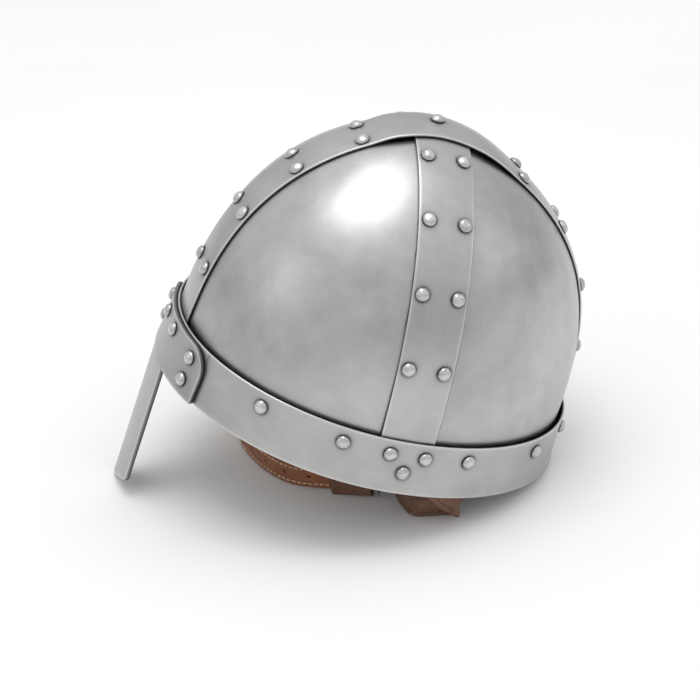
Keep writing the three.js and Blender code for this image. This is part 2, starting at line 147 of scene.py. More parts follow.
def measured(distance: np.ndarray, lengths: np.ndarray, values: np.ndarray) -> np.ndarray:
    """Vectors at distances along a line, taken straight between those kept at its samples."""
    return np.stack([np.interp(distance, lengths, values[:, k]) for k in range(3)], -1)


def lengths_along(points: np.ndarray) -> np.ndarray:
    """The length of a line of points up to each of them: the sum of the steps before it."""
    steps = np.linalg.norm(np.diff(points, axis=0), axis=1)
    return np.concatenate([[0.0], np.cumsum(steps)])


def grid_quads(rows: int, columns: int, wrap_rows: bool, wrap_columns: bool) -> np.ndarray:
    """Corners of the cells of a grid of points.

    Args:
        rows: number of rows of points.
        columns: number of points in a row.
        wrap_rows: whether the last row joins the first.
        wrap_columns: whether the last point of a row joins its first.

    Returns:
        An array of four point numbers for each cell.
    """
    j, i = np.meshgrid(
        np.arange(rows if wrap_rows else rows - 1),
        np.arange(columns if wrap_columns else columns - 1),
        indexing="ij",
    )
    below, beside = (j + 1) % rows, (i + 1) % columns
    corners = [j * columns + i, j * columns + beside, below * columns + beside, below * columns + i]
    return np.stack(corners, -1).reshape(-1, 4)


@dataclass
class Surface:
    """A mesh in the making: its points in millimetres, its faces, and what its finish reads."""

    points: np.ndarray
    quads: np.ndarray
    triangles: np.ndarray = field(default_factory=lambda: np.zeros((0, 3), int))
    grime: np.ndarray | None = None
    wear: np.ndarray | None = None
    grain: np.ndarray | None = None
    walls: int = 0

    def outward(self) -> "Surface":
        """Turns the faces round where the closed volume that they bound is negative.

        Returns:
            This surface.
        """
        halves = [self.quads[:, [0, 1, 2]], self.quads[:, [0, 2, 3]], self.triangles]
        a, b, c = (self.points[corner] for corner in np.concatenate(halves).T)
        if np.sum(a * np.cross(b, c)) < 0:
            self.quads = self.quads[:, ::-1]
            self.triangles = self.triangles[:, ::-1]
        return self

    def mesh(self, name: str) -> bpy.types.Mesh:
        """The Blender mesh of this surface, in metres, smooth shaded.

        Args:
            name: the mesh's name.

        Returns:
            The mesh, with the traces as attributes of its points.
        """
        mesh = bpy.data.meshes.new(name)
        mesh.vertices.add(len(self.points))
        mesh.vertices.foreach_set("co", (self.points * MM).ravel())
        loops = np.concatenate([self.quads.ravel(), self.triangles.ravel()])
        sizes = np.concatenate([np.full(len(self.quads), 4), np.full(len(self.triangles), 3)])
        starts = np.concatenate([[0], np.cumsum(sizes)[:-1]])
        mesh.loops.add(len(loops))
        mesh.loops.foreach_set("vertex_index", loops)
        mesh.polygons.add(len(sizes))
        mesh.polygons.foreach_set("loop_start", starts)
        mesh.polygons.foreach_set("loop_total", sizes)
        mesh.polygons.foreach_set("use_smooth", np.ones(len(sizes), bool))
        for label, values in (("grime", self.grime), ("wear", self.wear)):
            if values is not None:
                mesh.attributes.new(label, "FLOAT", "POINT").data.foreach_set("value", values.ravel())
        if self.grain is not None:
            grain = mesh.attributes.new("grain", "FLOAT_VECTOR", "POINT")
            grain.data.foreach_set("vector", (self.grain * MM).ravel())
        mesh.update(calc_edges=True)
        mesh.validate()
        return mesh


def gathered(pieces: list[Surface]) -> Surface:
    """Several surfaces side by side in one mesh.

    Args:
        pieces: the surfaces, in order.

    Returns:
        Their points and faces one after the other, with the traces that all of them keep.
    """
    starts = np.cumsum([0] + [len(piece.points) for piece in pieces[:-1]])
    whole = Surface(
        np.concatenate([piece.points for piece in pieces]),
        np.concatenate([piece.quads + start for piece, start in zip(pieces, starts)]),
        np.concatenate([piece.triangles + start for piece, start in zip(pieces, starts)]),
    )
    for label in ("grime", "wear", "grain"):
        values = [getattr(piece, label) for piece in pieces]
        if all(value is not None for value in values):
            setattr(whole, label, np.concatenate(values))
    return whole


def sheet(outer: np.ndarray, inner: np.ndarray, keep: np.ndarray | None = None) -> Surface:
    """A sheet between two grids of points, closed by walls along its border.

    Args:
        outer: rows by columns of points of the outer face.
        inner: the same for the inner face.
        keep: which cells are kept; all are where it is None.

    Returns:
        The closed surface: outer points first, and the walls along the border as its last faces.
    """
    rows, columns = outer.shape[:2]
    count = rows * columns
    cells = np.ones((rows - 1, columns - 1), bool) if keep is None else keep
    every = grid_quads(rows, columns, False, False).reshape(rows - 1, columns - 1, 4)
    quads = every[cells]
    faces = [quads, quads[:, ::-1] + count]
    padded = np.pad(cells, 1)
    middle = padded[1:-1, 1:-1]
    sides = {
        (0, 1): middle & ~padded[:-2, 1:-1],
        (1, 2): middle & ~padded[1:-1, 2:],
        (2, 3): middle & ~padded[2:, 1:-1],
        (3, 0): middle & ~padded[1:-1, :-2],
    }
    for (first, second), border in sides.items():
        edge = every[border]
        a, b = edge[:, first], edge[:, second]
        faces.append(np.stack([b, a, a + count, b + count], -1))
    points = np.concatenate([outer.reshape(-1, 3), inner.reshape(-1, 3)])
    walls = sum(len(face) for face in faces[2:])
    return Surface(points, np.concatenate(faces), walls=walls).outward()


def fans(sections: int, around: int) -> np.ndarray:
    """Triangles that close the two open ends of a swept profile, round two middle points after its own.

    Args:
        sections: how many sections there are.
        around: how many points each has.

    Returns:
        Three point numbers for each triangle, the first end's before the last one's.
    """
    ring = np.arange(around)
    ahead = (ring + 1) % around
    first = sections * around
    base = first - around
    start = np.stack([ahead, ring, np.full(around, first)], -1)
    end = np.stack([base + ring, base + ahead, np.full(around, first + 1)], -1)
    return np.concatenate([start, end])


def swept(sections: np.ndarray, hoop: bool) -> Surface:
    """A closed profile carried along a path.

    Args:
        sections: the profile's points at each step, steps by points.
        hoop: whether the last section joins the first; open ends are capped with a fan.

    Returns:
        The closed surface, with the caps' middle points last.
    """
    steps, around = sections.shape[:2]
    quads = grid_quads(steps, around, hoop, True)
    points = sections.reshape(-1, 3)
    if hoop:
        return Surface(points, quads).outward()
    middles = np.stack([sections[0].mean(0), sections[-1].mean(0)])
    return Surface(np.concatenate([points, middles]), quads, fans(steps, around)).outward()


def capped(values: np.ndarray, sections: int) -> np.ndarray:
    """Values of a swept surface's points, carried on to the two middle points of its caps.

    Args:
        values: one for each point, section after section.
        sections: how many sections there are.

    Returns:
        The values, followed by the means of the first section and of the last.
    """
    rows = values.reshape(sections, -1, *values.shape[1:])
    return np.concatenate([values, rows[0].mean(0)[None], rows[-1].mean(0)[None]])


def rounded_profile(width: float, low: float, high: float, radius: float, columns: int) -> np.ndarray:
    """A flat bar's section with rounded corners.

    Args:
        width: across the bar.
        low: offset of its inner face.
        high: offset of its outer face.
        radius: of its corners.
        columns: steps across each face.

    Returns:
        Points as (across, off), outer face first, once round.
    """
    turns = np.linspace(0.0, math.pi / 2, CORNER_STEPS)
    half = width / 2 - radius
    flat = np.linspace(-half, half, columns + 1)
    outer = np.stack([flat, np.full_like(flat, high)], -1)

    def corner(x: float, y: float, start: float) -> np.ndarray:
        """A quarter round about (x, y), from an angle on."""
        return np.stack([x + radius * np.cos(start - turns), y + radius * np.sin(start - turns)], -1)

    near = corner(half, high - radius, math.pi / 2)[1:]
    under = corner(half, low + radius, 0.0)[:-1]
    inner = np.stack([flat[::-1], np.full_like(flat, low)], -1)
    back = corner(-half, low + radius, -math.pi / 2)[1:]
    over = corner(-half, high - radius, -math.pi)[:-1]
    return np.concatenate([outer, near, under, inner, back, over])


def show(
    surface: Surface, name: str, finish: bpy.types.Material, nodes: tuple[str, ...]
) -> bpy.types.Object:
    """Puts a surface into the scene as a piece of the helmet.

    Args:
        surface: the piece, in the row frame.
        name: its plain name.
        finish: its material.
        nodes: the frame's nodes that it stands for.

    Returns:
        The new object.
    """
    piece = bpy.data.objects.new(name, surface.mesh(name))
    bpy.context.scene.collection.objects.link(piece)
    piece.data.materials.append(finish)
    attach(piece, BODY)
    if nodes:
        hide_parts(*nodes)
    LOG.info("%s: %d points", name, len(surface.points))
    return piece


@dataclass(frozen=True)
class Bend:
    """How the bowl's reach falls off with its height's share h of the crown's: (1 - h ** rise) ** reach."""

    rise: float
    reach: float

    def share(self, rise: np.ndarray) -> np.ndarray:
        """The share of the rim's reach that is left at a share of the crown's height."""
        return np.maximum(0.0, 1.0 - np.clip(rise, 0.0, 1.0) ** self.rise) ** self.reach


@dataclass(frozen=True)
class Bowl:
    """The bowl's outer face: at each height two half ellipses, one to the front and one to the rear."""

    front_reach: float = 108.0
    rear_reach: float = 123.5
    half_width: float = 103.3
    crown_height: float = 173.0
    front_bend: Bend = Bend(2.97, 0.66)
    side_bend: Bend = Bend(3.1, 0.645)
    rear_bend: Bend = Bend(3.17, 0.632)
    rim_flare: float = 2.0
    flare_height: float = 31.2
    search: float = 52.0
    halvings: int = 34
    slope_step: float = 0.01

    def reaches(self, z: np.ndarray, front: np.ndarray) -> tuple[np.ndarray, np.ndarray]:
        """Half lengths at a height: forwards or backwards, and sideways.

        Args:
            z: heights over the rim.
            front: whether the forward half is meant, for each.

        Returns:
            The reach along X and the reach along Y, with the flare that both have near the rim.
        """
        rise = z / self.crown_height
        flare = 1.0 + self.rim_flare / self.half_width * np.clip(1.0 - z / self.flare_height, 0.0, 1.0) ** 2
        ahead = self.front_reach * self.front_bend.share(rise)
        behind = self.rear_reach * self.rear_bend.share(rise)
        aside = self.half_width * self.side_bend.share(rise)
        return np.where(front, ahead, behind) * flare, aside * flare

    def point(self, angle: np.ndarray, z: np.ndarray) -> np.ndarray:
        """A point on the bowl: (-along cos, -aside sin, z), with angle 0 in front and 90 degrees left.

        Args:
            angle: round the bowl.
            z: heights over the rim.

        Returns:
            The points.
        """
        angle, z = np.broadcast_arrays(np.asarray(angle, float), np.asarray(z, float))
        along, aside = self.reaches(z, np.cos(angle) > 0)
        return np.stack([-along * np.cos(angle), -aside * np.sin(angle), z], -1)

    def outside(self, points: np.ndarray) -> np.ndarray:
        """Positive outside the bowl: the radius left over once X is scaled to the sideways reach.

        Args:
            points: any points.

        Returns:
            How far outside each is, negative inside and exact on the bowl alone.
        """
        along, aside = self.reaches(points[..., 2], points[..., 0] < 0)
        radius = np.hypot(points[..., 0] * aside / np.maximum(along, TINY), points[..., 1])
        over = np.hypot(points[..., 0], points[..., 1]) + points[..., 2] - self.crown_height + TINY
        return np.where(aside > 0, radius - aside, over)

    def normal(self, points: np.ndarray) -> np.ndarray:
        """The way out of the bowl: the slope of the rule above, by small steps along each axis.

        Args:
            points: points near the bowl.

        Returns:
            Unit vectors.
        """
        steps = self.slope_step * np.eye(3)
        slopes = [self.outside(points + step) - self.outside(points - step) for step in steps]
        return unit(np.stack(slopes, -1))

    def reach_along(self, start: np.ndarray, way: np.ndarray, near: float, far: float) -> np.ndarray:
        """Slides points along their ways onto the bowl, by halving the span between inside and outside.

        Args:
            start: the points.
            way: unit vectors.
            near: a distance along them that is inside.
            far: a distance that is outside.

        Returns:
            The points on the bowl.
        """
        shape = np.broadcast_shapes(start.shape, way.shape)[:-1]
        low, high = np.full(shape, near), np.full(shape, far)
        for _ in range(self.halvings):
            middle = (low + high) / 2
            out = self.outside(start + way * middle[..., None]) > 0
            high = np.where(out, middle, high)
            low = np.where(out, low, middle)
        return start + way * low[..., None]

    def onto(self, start: np.ndarray, way: np.ndarray) -> np.ndarray:
        """Slides points near the bowl onto it."""
        return self.reach_along(start, way, -self.search, self.search)

    def off(self, points: np.ndarray, distance: np.ndarray) -> np.ndarray:
        """Points a distance off the bowl, square to it."""
        return points + self.normal(points) * np.asarray(distance)[..., None]

    def off_level(self, points: np.ndarray, distance: np.ndarray) -> np.ndarray:
        """Points a distance off the bowl, measured level, for what stands upright round the rim."""
        normal = unit(self.normal(points) * LEVEL)
        return points + normal * np.asarray(distance)[..., None]

    def angle_of_x(self, x: float) -> float:
        """The angle on the rim's left side at a place along X."""
        return math.acos(-x / (self.front_reach if x < 0 else self.rear_reach))


@dataclass(frozen=True)
class Layers:
    """How far the faces of each layer of steel stand off the plates."""

    clearance: float = 0.35
    plate: float = 1.5
    band: float = 1.5
    nasal: float = 2.4

    @property
    def band_face(self) -> float:
        """Outer face of the crest and cross bands."""
        return self.clearance + self.band

    @property
    def brow_layer(self) -> float:
        """Inner face of the brow band."""
        return self.band_face + self.clearance

    @property
    def brow_face(self) -> float:
        """Outer face of the brow band."""
        return self.brow_layer + self.band

    @property
    def nasal_layer(self) -> float:
        """Inner face of the nasal plate."""
        return self.brow_face + self.clearance

    @property
    def nasal_face(self) -> float:
        """Outer face of the nasal plate."""
        return self.nasal_layer + self.nasal


@dataclass
class Resting:
    """How the upright steel is leant back: a turn, and its rim middle's place over the floor."""

    turn: np.ndarray
    place: np.ndarray

    @classmethod
    def from_frame(cls, record: dict, crown: np.ndarray) -> "Resting":
        """Reads the lean from the frame.

        Args:
            record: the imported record, whose mount "rim" lies in the rim's plane, its axis out of the bowl.
            crown: the crown rivet's middle on the upright helmet, which is then the frame's own.

        Returns:
            The turn that takes upright to that axis by the shortest way, and the place.
        """
        rim = next(mount for mount in record["mounts"] if mount["name"] == "rim")
        up = unit(-np.array(rim["axis"], float))
        shortest = Vector(UP).rotation_difference(Vector(up))
        turn = np.array(shortest.to_matrix())
        low, high = (np.array(corner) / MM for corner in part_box("rivet_crown"))
        place = (low + high) / 2 - turn @ crown
        on_rim = np.array(rim["pos_m"]) / MM
        place[2] = on_rim[2] - (up[:2] @ (place[:2] - on_rim[:2])) / up[2]
        return cls(turn, place)

    def lean(self, points: np.ndarray) -> np.ndarray:
        """Upright points, as they lie in the row frame."""
        return points @ self.turn.T + self.place

    def lay(self, surface: Surface) -> Surface:
        """An upright surface, as it lies in the row frame."""
        surface.points = self.lean(surface.points)
        return surface

    @property
    def shift(self) -> np.ndarray:
        """The rim middle's place on the floor."""
        return self.place * LEVEL


@dataclass(frozen=True)
class Pattern:
    """A noise: its scale in waves to the metre, its octaves and how rough they are."""

    scale: float
    detail: float = 3.0
    rough: float = 0.5


@dataclass(frozen=True)
class Ramp:
    """A range of values and the range that it is taken to, held at its ends."""

    low: float
    high: float
    out_low: float = 0.0
    out_high: float = 1.0


@dataclass(frozen=True)
class Relief:
    """How deep a bump is, in metres, and how strongly it shows."""

    depth: float
    strength: float


class Tree:
    """A material's node tree, filled a node at a time."""

    def __init__(self, name: str) -> None:
        """Starts a material with an empty Principled surface.

        Args:
            name: the material's plain name.
        """
        self.material = bpy.data.materials.new(name)
        self.material.use_nodes = True
        self.nodes = self.material.node_tree.nodes
        self.links = self.material.node_tree.links
        self.surface = self.nodes["Principled BSDF"]

    def add(self, kind: str, inputs: dict | None = None, **settings: str | bool) -> bpy.types.Node:
        """Adds a node.

        Args:
            kind: the node's type, without its ShaderNode prefix.
            inputs: values or sockets for its inputs, by name or number.
            settings: its own properties.

        Returns:
            The node.
        """
        node = self.nodes.new("ShaderNode" + kind)
        for key, value in settings.items():
            setattr(node, key, value)
        for key, value in (inputs or {}).items():
            self.feed(node.inputs[key], value)
        return node

    def feed(self, socket: bpy.types.NodeSocket, value: Feed) -> None:
        """Links a socket, or sets its value.

        Args:
            socket: the input.
            value: an output to link it to, or a plain value.
        """
        if isinstance(value, bpy.types.NodeSocket):
            self.links.new(value, socket)
        else:
            socket.default_value = value

    def math(self, operation: str, first: Feed, second: Feed) -> bpy.types.NodeSocket:
        """A math node's value."""
        return self.add("Math", {0: first, 1: second}, operation=operation).outputs[0]

    def trace(self, name: str) -> bpy.types.NodeSocket:
        """A number that the mesh keeps at its points."""
        return self.add("Attribute", attribute_name=name).outputs["Fac"]

    def where(self) -> bpy.types.NodeSocket:
        """The place on the piece, in metres."""
        return self.add("TexCoord").outputs["Object"]

    def noise(self, where: Feed, pattern: Pattern) -> bpy.types.NodeSocket:
        """A noise's value between 0 and 1."""
        inputs = {"Scale": pattern.scale, "Detail": pattern.detail, "Roughness": pattern.rough}
        return self.add("TexNoise", {"Vector": where, **inputs}).outputs["Fac"]

    def spread(self, value: Feed, ramp: Ramp) -> bpy.types.NodeSocket:
        """A value taken along a ramp.

        Args:
            value: the value.
            ramp: its range, and the range that it is taken to.

        Returns:
            The new value.
        """
        source = {"Value": value, "From Min": ramp.low, "From Max": ramp.high}
        target = {"To Min": ramp.out_low, "To Max": ramp.out_high}
        return self.add("MapRange", source | target).outputs["Result"]

    def mixed(self, first: Feed, second: Feed, share: float) -> bpy.types.NodeSocket:
        """Two values added up: a share of the first, and the rest of the second."""
        rest = self.math("MULTIPLY", second, 1.0 - share)
        return self.math("ADD", self.math("MULTIPLY", first, share), rest)

    def blend(self, share: Feed, first: Feed, second: Feed) -> bpy.types.NodeSocket:
        """A colour between two.

        Args:
            share: how much of the second it has.
            first: the colour at a share of 0.
            second: the colour at a share of 1.

        Returns:
            The colour.
        """
        inputs = {MIX_SHARE: share, MIX_FIRST: first, MIX_SECOND: second}
        return self.add("Mix", inputs, data_type="RGBA").outputs[MIX_RESULT]

    def bump(self, height: Feed, relief: Relief, under: Feed | None = None) -> bpy.types.NodeSocket:
        """A bumped normal.

        Args:
            height: the bump's height between 0 and 1.
            relief: how deep and how strong it is.
            under: the normal that it lies on, where there is one.

        Returns:
            The normal.
        """
        inputs = {"Height": height, "Distance": relief.depth, "Strength": relief.strength}
        if under is not None:
            inputs["Normal"] = under
        return self.add("Bump", inputs).outputs["Normal"]

    def finish(self, **inputs: Feed) -> bpy.types.Material:
        """Feeds the surface and hands over the material.

        Args:
            inputs: what the surface reads, by its inputs' names with _ for a space.

        Returns:
            The finished material.
        """
        for name, value in inputs.items():
            self.feed(self.surface.inputs[name.replace("_", " ")], value)
        return self.material


def grey(value: float, warmth: float = 0.0) -> tuple[float, float, float, float]:
    """A grey, a little warmer where warmth is positive."""
    return (value * (1.0 + warmth), value, value * (1.0 - warmth), 1.0)


@dataclass(frozen=True)
class SteelFinish:
    """Satin steel: mottling, fine brushing along its grain, painted shade in its corners and painted
    highlights on its edges.
    """

    name: str
    dark: float
    light: float
    roughness: float
    mottle: float
    brushing: float
    hammering: float
    warmth: float = 0.008
    lines: Pattern = Pattern(55.0, 4.0, 0.65)
    line_squeeze: float = 42.0
    clouds: Pattern = Pattern(17.0, 4.0, 0.55)
    cloud_share: float = 0.7
    spots: Pattern = Pattern(95.0, 5.0, 0.6)
    dust: Pattern = Pattern(900.0, 2.0, 0.6)
    beats: Pattern = Pattern(42.0, 2.0, 0.4)
    streaks: Ramp = Ramp(0.25, 0.75, 0.93, 1.04)
    shade_spots: Ramp = Ramp(0.3, 0.65, 0.75, 1.1)
    shade_cover: Ramp = Ramp(0.0, 1.0, 0.0, 0.93)
    shade_tone: float = 0.012
    shade_warmth: float = 0.02
    shade_roughness: float = 0.2
    highlight_tone: float = 0.86
    highlight_share: float = 0.55
    smoother: float = 0.035
    rougher: float = 0.045
    line_roughness: Ramp = Ramp(NOISE_LOW, NOISE_HIGH, -0.03, 0.03)
    beat_depth: float = 0.0009
    line_depth: float = 0.00004
    dust_relief: Relief = Relief(0.00003, 0.35)

    def material(self) -> bpy.types.Material:
        """Makes the steel.

        Its tone runs from dark to light with the clouds and spots and is scaled by the brushed lines.
        Painted shade, a near-black grey broken up by the spots, covers it by the mesh's shade trace, and a
        painted highlight of bright metal by its highlight trace.

        Returns:
            The material.
        """
        tree = Tree(self.name)
        where = tree.where()
        grain = tree.add("Attribute", attribute_name="grain").outputs["Vector"]
        squeeze = (1.0, self.line_squeeze, self.line_squeeze)
        along = tree.add("Mapping", {"Vector": grain, "Scale": squeeze}).outputs["Vector"]
        lines = tree.noise(along, self.lines)
        clouds = tree.noise(where, self.clouds)
        spots = tree.noise(where, self.spots)
        grime = tree.trace("grime")
        patch = tree.mixed(clouds, spots, self.cloud_share)
        share = tree.spread(patch, Ramp(0.5 - self.mottle, 0.5 + self.mottle))
        metal = tree.blend(share, grey(self.dark, self.warmth), grey(self.light, self.warmth))
        streaks = tree.spread(lines, self.streaks)
        brushed = tree.add("VectorMath", {0: metal, "Scale": streaks}, operation="SCALE").outputs[0]
        # Painted shade: the shade trace, broken up by the spots, turns the steel near black.
        broken = tree.math("MULTIPLY", grime, tree.spread(spots, self.shade_spots))
        darkening = grey(self.shade_tone, self.shade_warmth)
        darkened = tree.blend(tree.spread(broken, self.shade_cover), brushed, darkening)
        # Painted highlight: the highlight trace turns the steel towards a pale grey.
        bright = tree.math("MULTIPLY", tree.trace("wear"), self.highlight_share)
        worn = tree.blend(bright, darkened, grey(self.highlight_tone))
        cloudy = Ramp(NOISE_LOW, NOISE_HIGH, self.roughness - self.smoother, self.roughness + self.rougher)
        rough = tree.math("ADD", tree.spread(clouds, cloudy), tree.spread(lines, self.line_roughness))
        rough = tree.math("ADD", rough, tree.math("MULTIPLY", grime, self.shade_roughness))
        beaten = tree.bump(tree.noise(where, self.beats), Relief(self.beat_depth, self.hammering))
        satin = tree.bump(lines, Relief(self.line_depth, self.brushing), beaten)
        normal = tree.bump(tree.noise(where, self.dust), self.dust_relief, satin)
        return tree.finish(Base_Color=worn, Metallic=1.0, Roughness=rough, Normal=normal)


@dataclass(frozen=True)
class LeatherFinish:
    """Vegetable-tanned leather: pebbled grain, cloudy dye, darker rubbed edges."""

    name: str
    base: tuple[float, float, float]
    deep: tuple[float, float, float]
    roughness: float = 0.5
    clouds: Pattern = Pattern(60.0, 5.0, 0.6)
    cloud_share: float = 0.6
    streaks: Pattern = Pattern(320.0, 4.0, 0.7)
    pebble_scale: float = 1100.0
    creases: Ramp = Ramp(0.0, 0.12)
    crease_darkening: Ramp = Ramp(0.0, 1.0, 0.25, 0.0)
    dye: Ramp = Ramp(0.36, 0.62)
    rubbed: float = 0.6
    smoother: float = 0.08
    rougher: float = 0.1
    sheen: float = 0.42
    pebble_relief: Relief = Relief(0.00018, 0.35)
    cloud_relief: Relief = Relief(0.0004, 0.3)

    def material(self) -> bpy.types.Material:
        """Makes the leather.

        Its dye runs from deep to base with the clouds and streaks; its colour is deep again in the creases
        between the pebbles, and where the rubbed-edge trace says that an edge is rubbed.

        Returns:
            The material.
        """
        tree = Tree(self.name)
        where = tree.where()
        deep, base = (*self.deep, 1.0), (*self.base, 1.0)
        clouds = tree.noise(where, self.clouds)
        streaks = tree.noise(where, self.streaks)
        pebbles = {"Vector": where, "Scale": self.pebble_scale}
        cells = tree.add("TexVoronoi", pebbles, feature="DISTANCE_TO_EDGE")
        creases = tree.spread(cells.outputs["Distance"], self.creases)
        mixed = tree.mixed(clouds, streaks, self.cloud_share)
        dyed = tree.blend(tree.spread(mixed, self.dye), deep, base)
        creased = tree.blend(tree.spread(creases, self.crease_darkening), dyed, deep)
        rubbed = tree.blend(tree.math("MULTIPLY", tree.trace("wear"), self.rubbed), creased, deep)
        rough = Ramp(NOISE_LOW, NOISE_HIGH, self.roughness - self.smoother, self.roughness + self.rougher)
        normal = tree.bump(clouds, self.cloud_relief, tree.bump(creases, self.pebble_relief))
        tree.finish(Base_Color=rubbed, Roughness=tree.spread(streaks, rough), Normal=normal)
        return tree.finish(Specular_IOR_Level=self.sheen)


@dataclass(frozen=True)
class ThreadFinish:
    """Waxed thread with a fine twist."""

    name: str
    colour: tuple[float, float, float]
    shade: tuple[float, float, float]
    twist: Pattern = Pattern(2600.0, 2.0)
    twist_relief: Relief = Relief(0.0001, 0.6)
    soil: Pattern = Pattern(150.0)
    soiling: Ramp = Ramp(0.35, 0.7, 0.0, 0.7)
    roughness: float = 0.7

    def material(self) -> bpy.types.Material:
        """Makes the thread: its colour turns to the shade where it is soiled.

        Returns:
            The material.
        """
        tree = Tree(self.name)
        where = tree.where()
        soiled = tree.spread(tree.noise(where, self.soil), self.soiling)
        tone = tree.blend(soiled, (*self.colour, 1.0), (*self.shade, 1.0))
        normal = tree.bump(tree.noise(where, self.twist), self.twist_relief)
        return tree.finish(Base_Color=tone, Roughness=self.roughness, Normal=normal)


@dataclass(frozen=True)
class FloorFinish:
    """A plain pale floor, with the least unevenness."""

    name: str = "pale_floor"
    low: float = 0.86
    high: float = 0.89
    clouds: Pattern = Pattern(3.0)
    cloudiness: Ramp = Ramp(NOISE_LOW, NOISE_HIGH)
    roughness: float = 0.9

    def material(self) -> bpy.types.Material:
        """Makes the floor: grey between low and high, by wide clouds.

        Returns:
            The material.
        """
        tree = Tree(self.name)
        share = tree.spread(tree.noise(tree.where(), self.clouds), self.cloudiness)
        tone = tree.blend(share, grey(self.low), grey(self.high))
        return tree.finish(Base_Color=tone, Roughness=self.roughness)


@dataclass
class BandLine:
    """A band's middle line over the bowl, found along rays in one plane and measured by its length."""

    bowl: Bowl
    foot: np.ndarray
    side: np.ndarray
    up: np.ndarray
    crosswise: np.ndarray
    samples: int = 900
    foot_samples: int = 180

    def __post_init__(self) -> None:
        """Works out the line's points and its length up to each."""
        turn = np.linspace(0.0, math.pi, self.samples)[:, None]
        rays = np.cos(turn) * self.side + np.sin(turn) * self.up
        self.points = self.bowl.reach_along(self.foot, rays, 0.0, 2 * self.bowl.crown_height)
        self.lengths = lengths_along(self.points)

    @property
    def length(self) -> float:
        """From foot to foot."""
        return float(self.lengths[-1])

    def spine(self, distance: np.ndarray) -> np.ndarray:
        """Points of the line at distances along it."""
        return measured(distance, self.lengths, self.points)

    def at_x(self, x: float) -> float:
        """The distance along the line at a place along X, on its upper part."""
        upper = slice(self.foot_samples, -self.foot_samples)
        return float(np.interp(x, self.points[upper, 0], self.lengths[upper]))

    def on_bowl(self, distance: np.ndarray, offset: np.ndarray) -> np.ndarray:
        """Points on the bowl at distances along the line and offsets across it.

        Args:
            distance: from the line's start.
            offset: across it.

        Returns:
            The points.
        """
        spine = self.spine(distance)
        start = spine + self.crosswise * np.asarray(offset)[..., None]
        return self.bowl.onto(start, self.bowl.normal(spine))


@dataclass
class Rivets:
    """Domed rivet heads, each beaten a little out of round."""

    radius: float = 4.0
    height: float = 3.2
    sink: float = 0.12
    around: int = 28
    rings: int = 12
    foot_tuck: float = 0.9
    foot_rise: float = 0.1
    fullness: float = 0.86
    oval: float = 0.018
    lobes: float = 0.012
    flats: int = 5
    flat_depth: float = 0.3
    flat_share: float = 0.85
    least_flat: float = 0.5
    tilts: tuple[float, float] = (0.15, 0.95)
    phases: float = 6.0
    foot_shade: Trace = Trace(0.95, 0.4, 0.3)
    highlight_from: float = 0.62
    highlight_over: float = 0.4
    worn: float = 0.55
    ring_deep_shade: Trace = Trace(0.95, 0.55)
    ring_shade: Trace = Trace(0.13, 3.0)

    def dome(self, rng: np.random.Generator) -> np.ndarray:
        """Rings of points of a dome: an ellipse whose foot turns under, a little oval and three-lobed.

        Args:
            rng: draws the ways that the oval and the lobes look.

        Returns:
            Rings by points round them.
        """
        lift = np.linspace(0.0, math.pi / 2, self.rings)[:-1]
        across = np.concatenate([[self.foot_tuck], np.cos(lift) ** self.fullness])[:, None]
        up = np.concatenate([[0.0], self.foot_rise + (1.0 - self.foot_rise) * np.sin(lift)])
        turn = np.linspace(0.0, 2 * math.pi, self.around, endpoint=False)
        oval = self.oval * np.cos(turn * 2 + rng.uniform(0, self.phases))
        lobes = self.lobes * np.cos(turn * 3 + rng.uniform(0, self.phases))
        radius = self.radius * across * (1.0 + oval + lobes)
        z = self.height * np.repeat(up[:, None], self.around, 1) - self.sink
        return np.stack([radius * np.cos(turn), radius * np.sin(turn), z], -1)

    def head(self, seed: int) -> Surface:
        """One head, foot at the origin and crown along Z: a dome shaved by flats where it is proud.

        Args:
            seed: picks where the hammer fell.

        Returns:
            The closed head.
        """
        rng = np.random.default_rng(seed)
        foot = np.array([0.0, 0.0, -self.sink])
        crown = np.array([0.0, 0.0, self.height - self.sink])
        points = np.concatenate([self.dome(rng).reshape(-1, 3), [foot], [crown]])
        for _ in range(self.flats):
            tilt, swing = rng.uniform(*self.tilts), rng.uniform(0, 2 * math.pi)
            level = math.sin(tilt)
            way = np.array([level * math.cos(swing), level * math.sin(swing), math.cos(tilt)])
            reach = points @ way
            shaved = reach.max() - self.flat_depth * rng.uniform(self.least_flat, 1.0)
            points = points - way * (self.flat_share * np.maximum(reach - shaved, 0.0))[:, None]
        quads = grid_quads(self.rings, self.around, False, True)
        surface = Surface(points, quads, fans(self.rings, self.around)).outward()
        # Painted shade darkens the foot of the head.
        surface.grime = self.foot_shade.at(points[:, 2] + self.sink)
        # Painted highlight brightens the upper part of the head.
        height = points[:, 2] / self.height
        surface.wear = smooth_step((height - self.highlight_from) / self.highlight_over) * self.worn
        surface.grain = points.copy()
        return surface

    def seated(self, seed: int, foot: np.ndarray, normal: np.ndarray) -> Surface:
        """A head on a surface.

        Args:
            seed: picks where the hammer fell.
            foot: the place it sits on.
            normal: the way it looks.

        Returns:
            The head there.
        """
        head = self.head(seed)
        first = unit(np.cross(normal, ASKEW))
        basis = np.stack([first, np.cross(normal, first), normal])
        head.points = head.points @ basis + foot
        return head.outward()

    def shade_round(self, points: np.ndarray, feet: np.ndarray) -> np.ndarray:
        """The dark ring of painted shade on the sheet round each head: a halo of the distance past the
        head's rim.

        Args:
            points: the sheet's points.
            feet: the heads' places.

        Returns:
            The trace at each point.
        """
        distance = np.linalg.norm(points[:, None, :] - feet[None, :, :], axis=-1).min(1)
        past = distance - self.radius
        return np.clip(self.ring_deep_shade.at(past) + self.ring_shade.at(past), 0.0, 1.0)


def feet_of(seats: Iterable[Seat]) -> np.ndarray:
    """The feet of rivets, from their feet and normals."""
    return np.array([foot for foot, _ in seats])


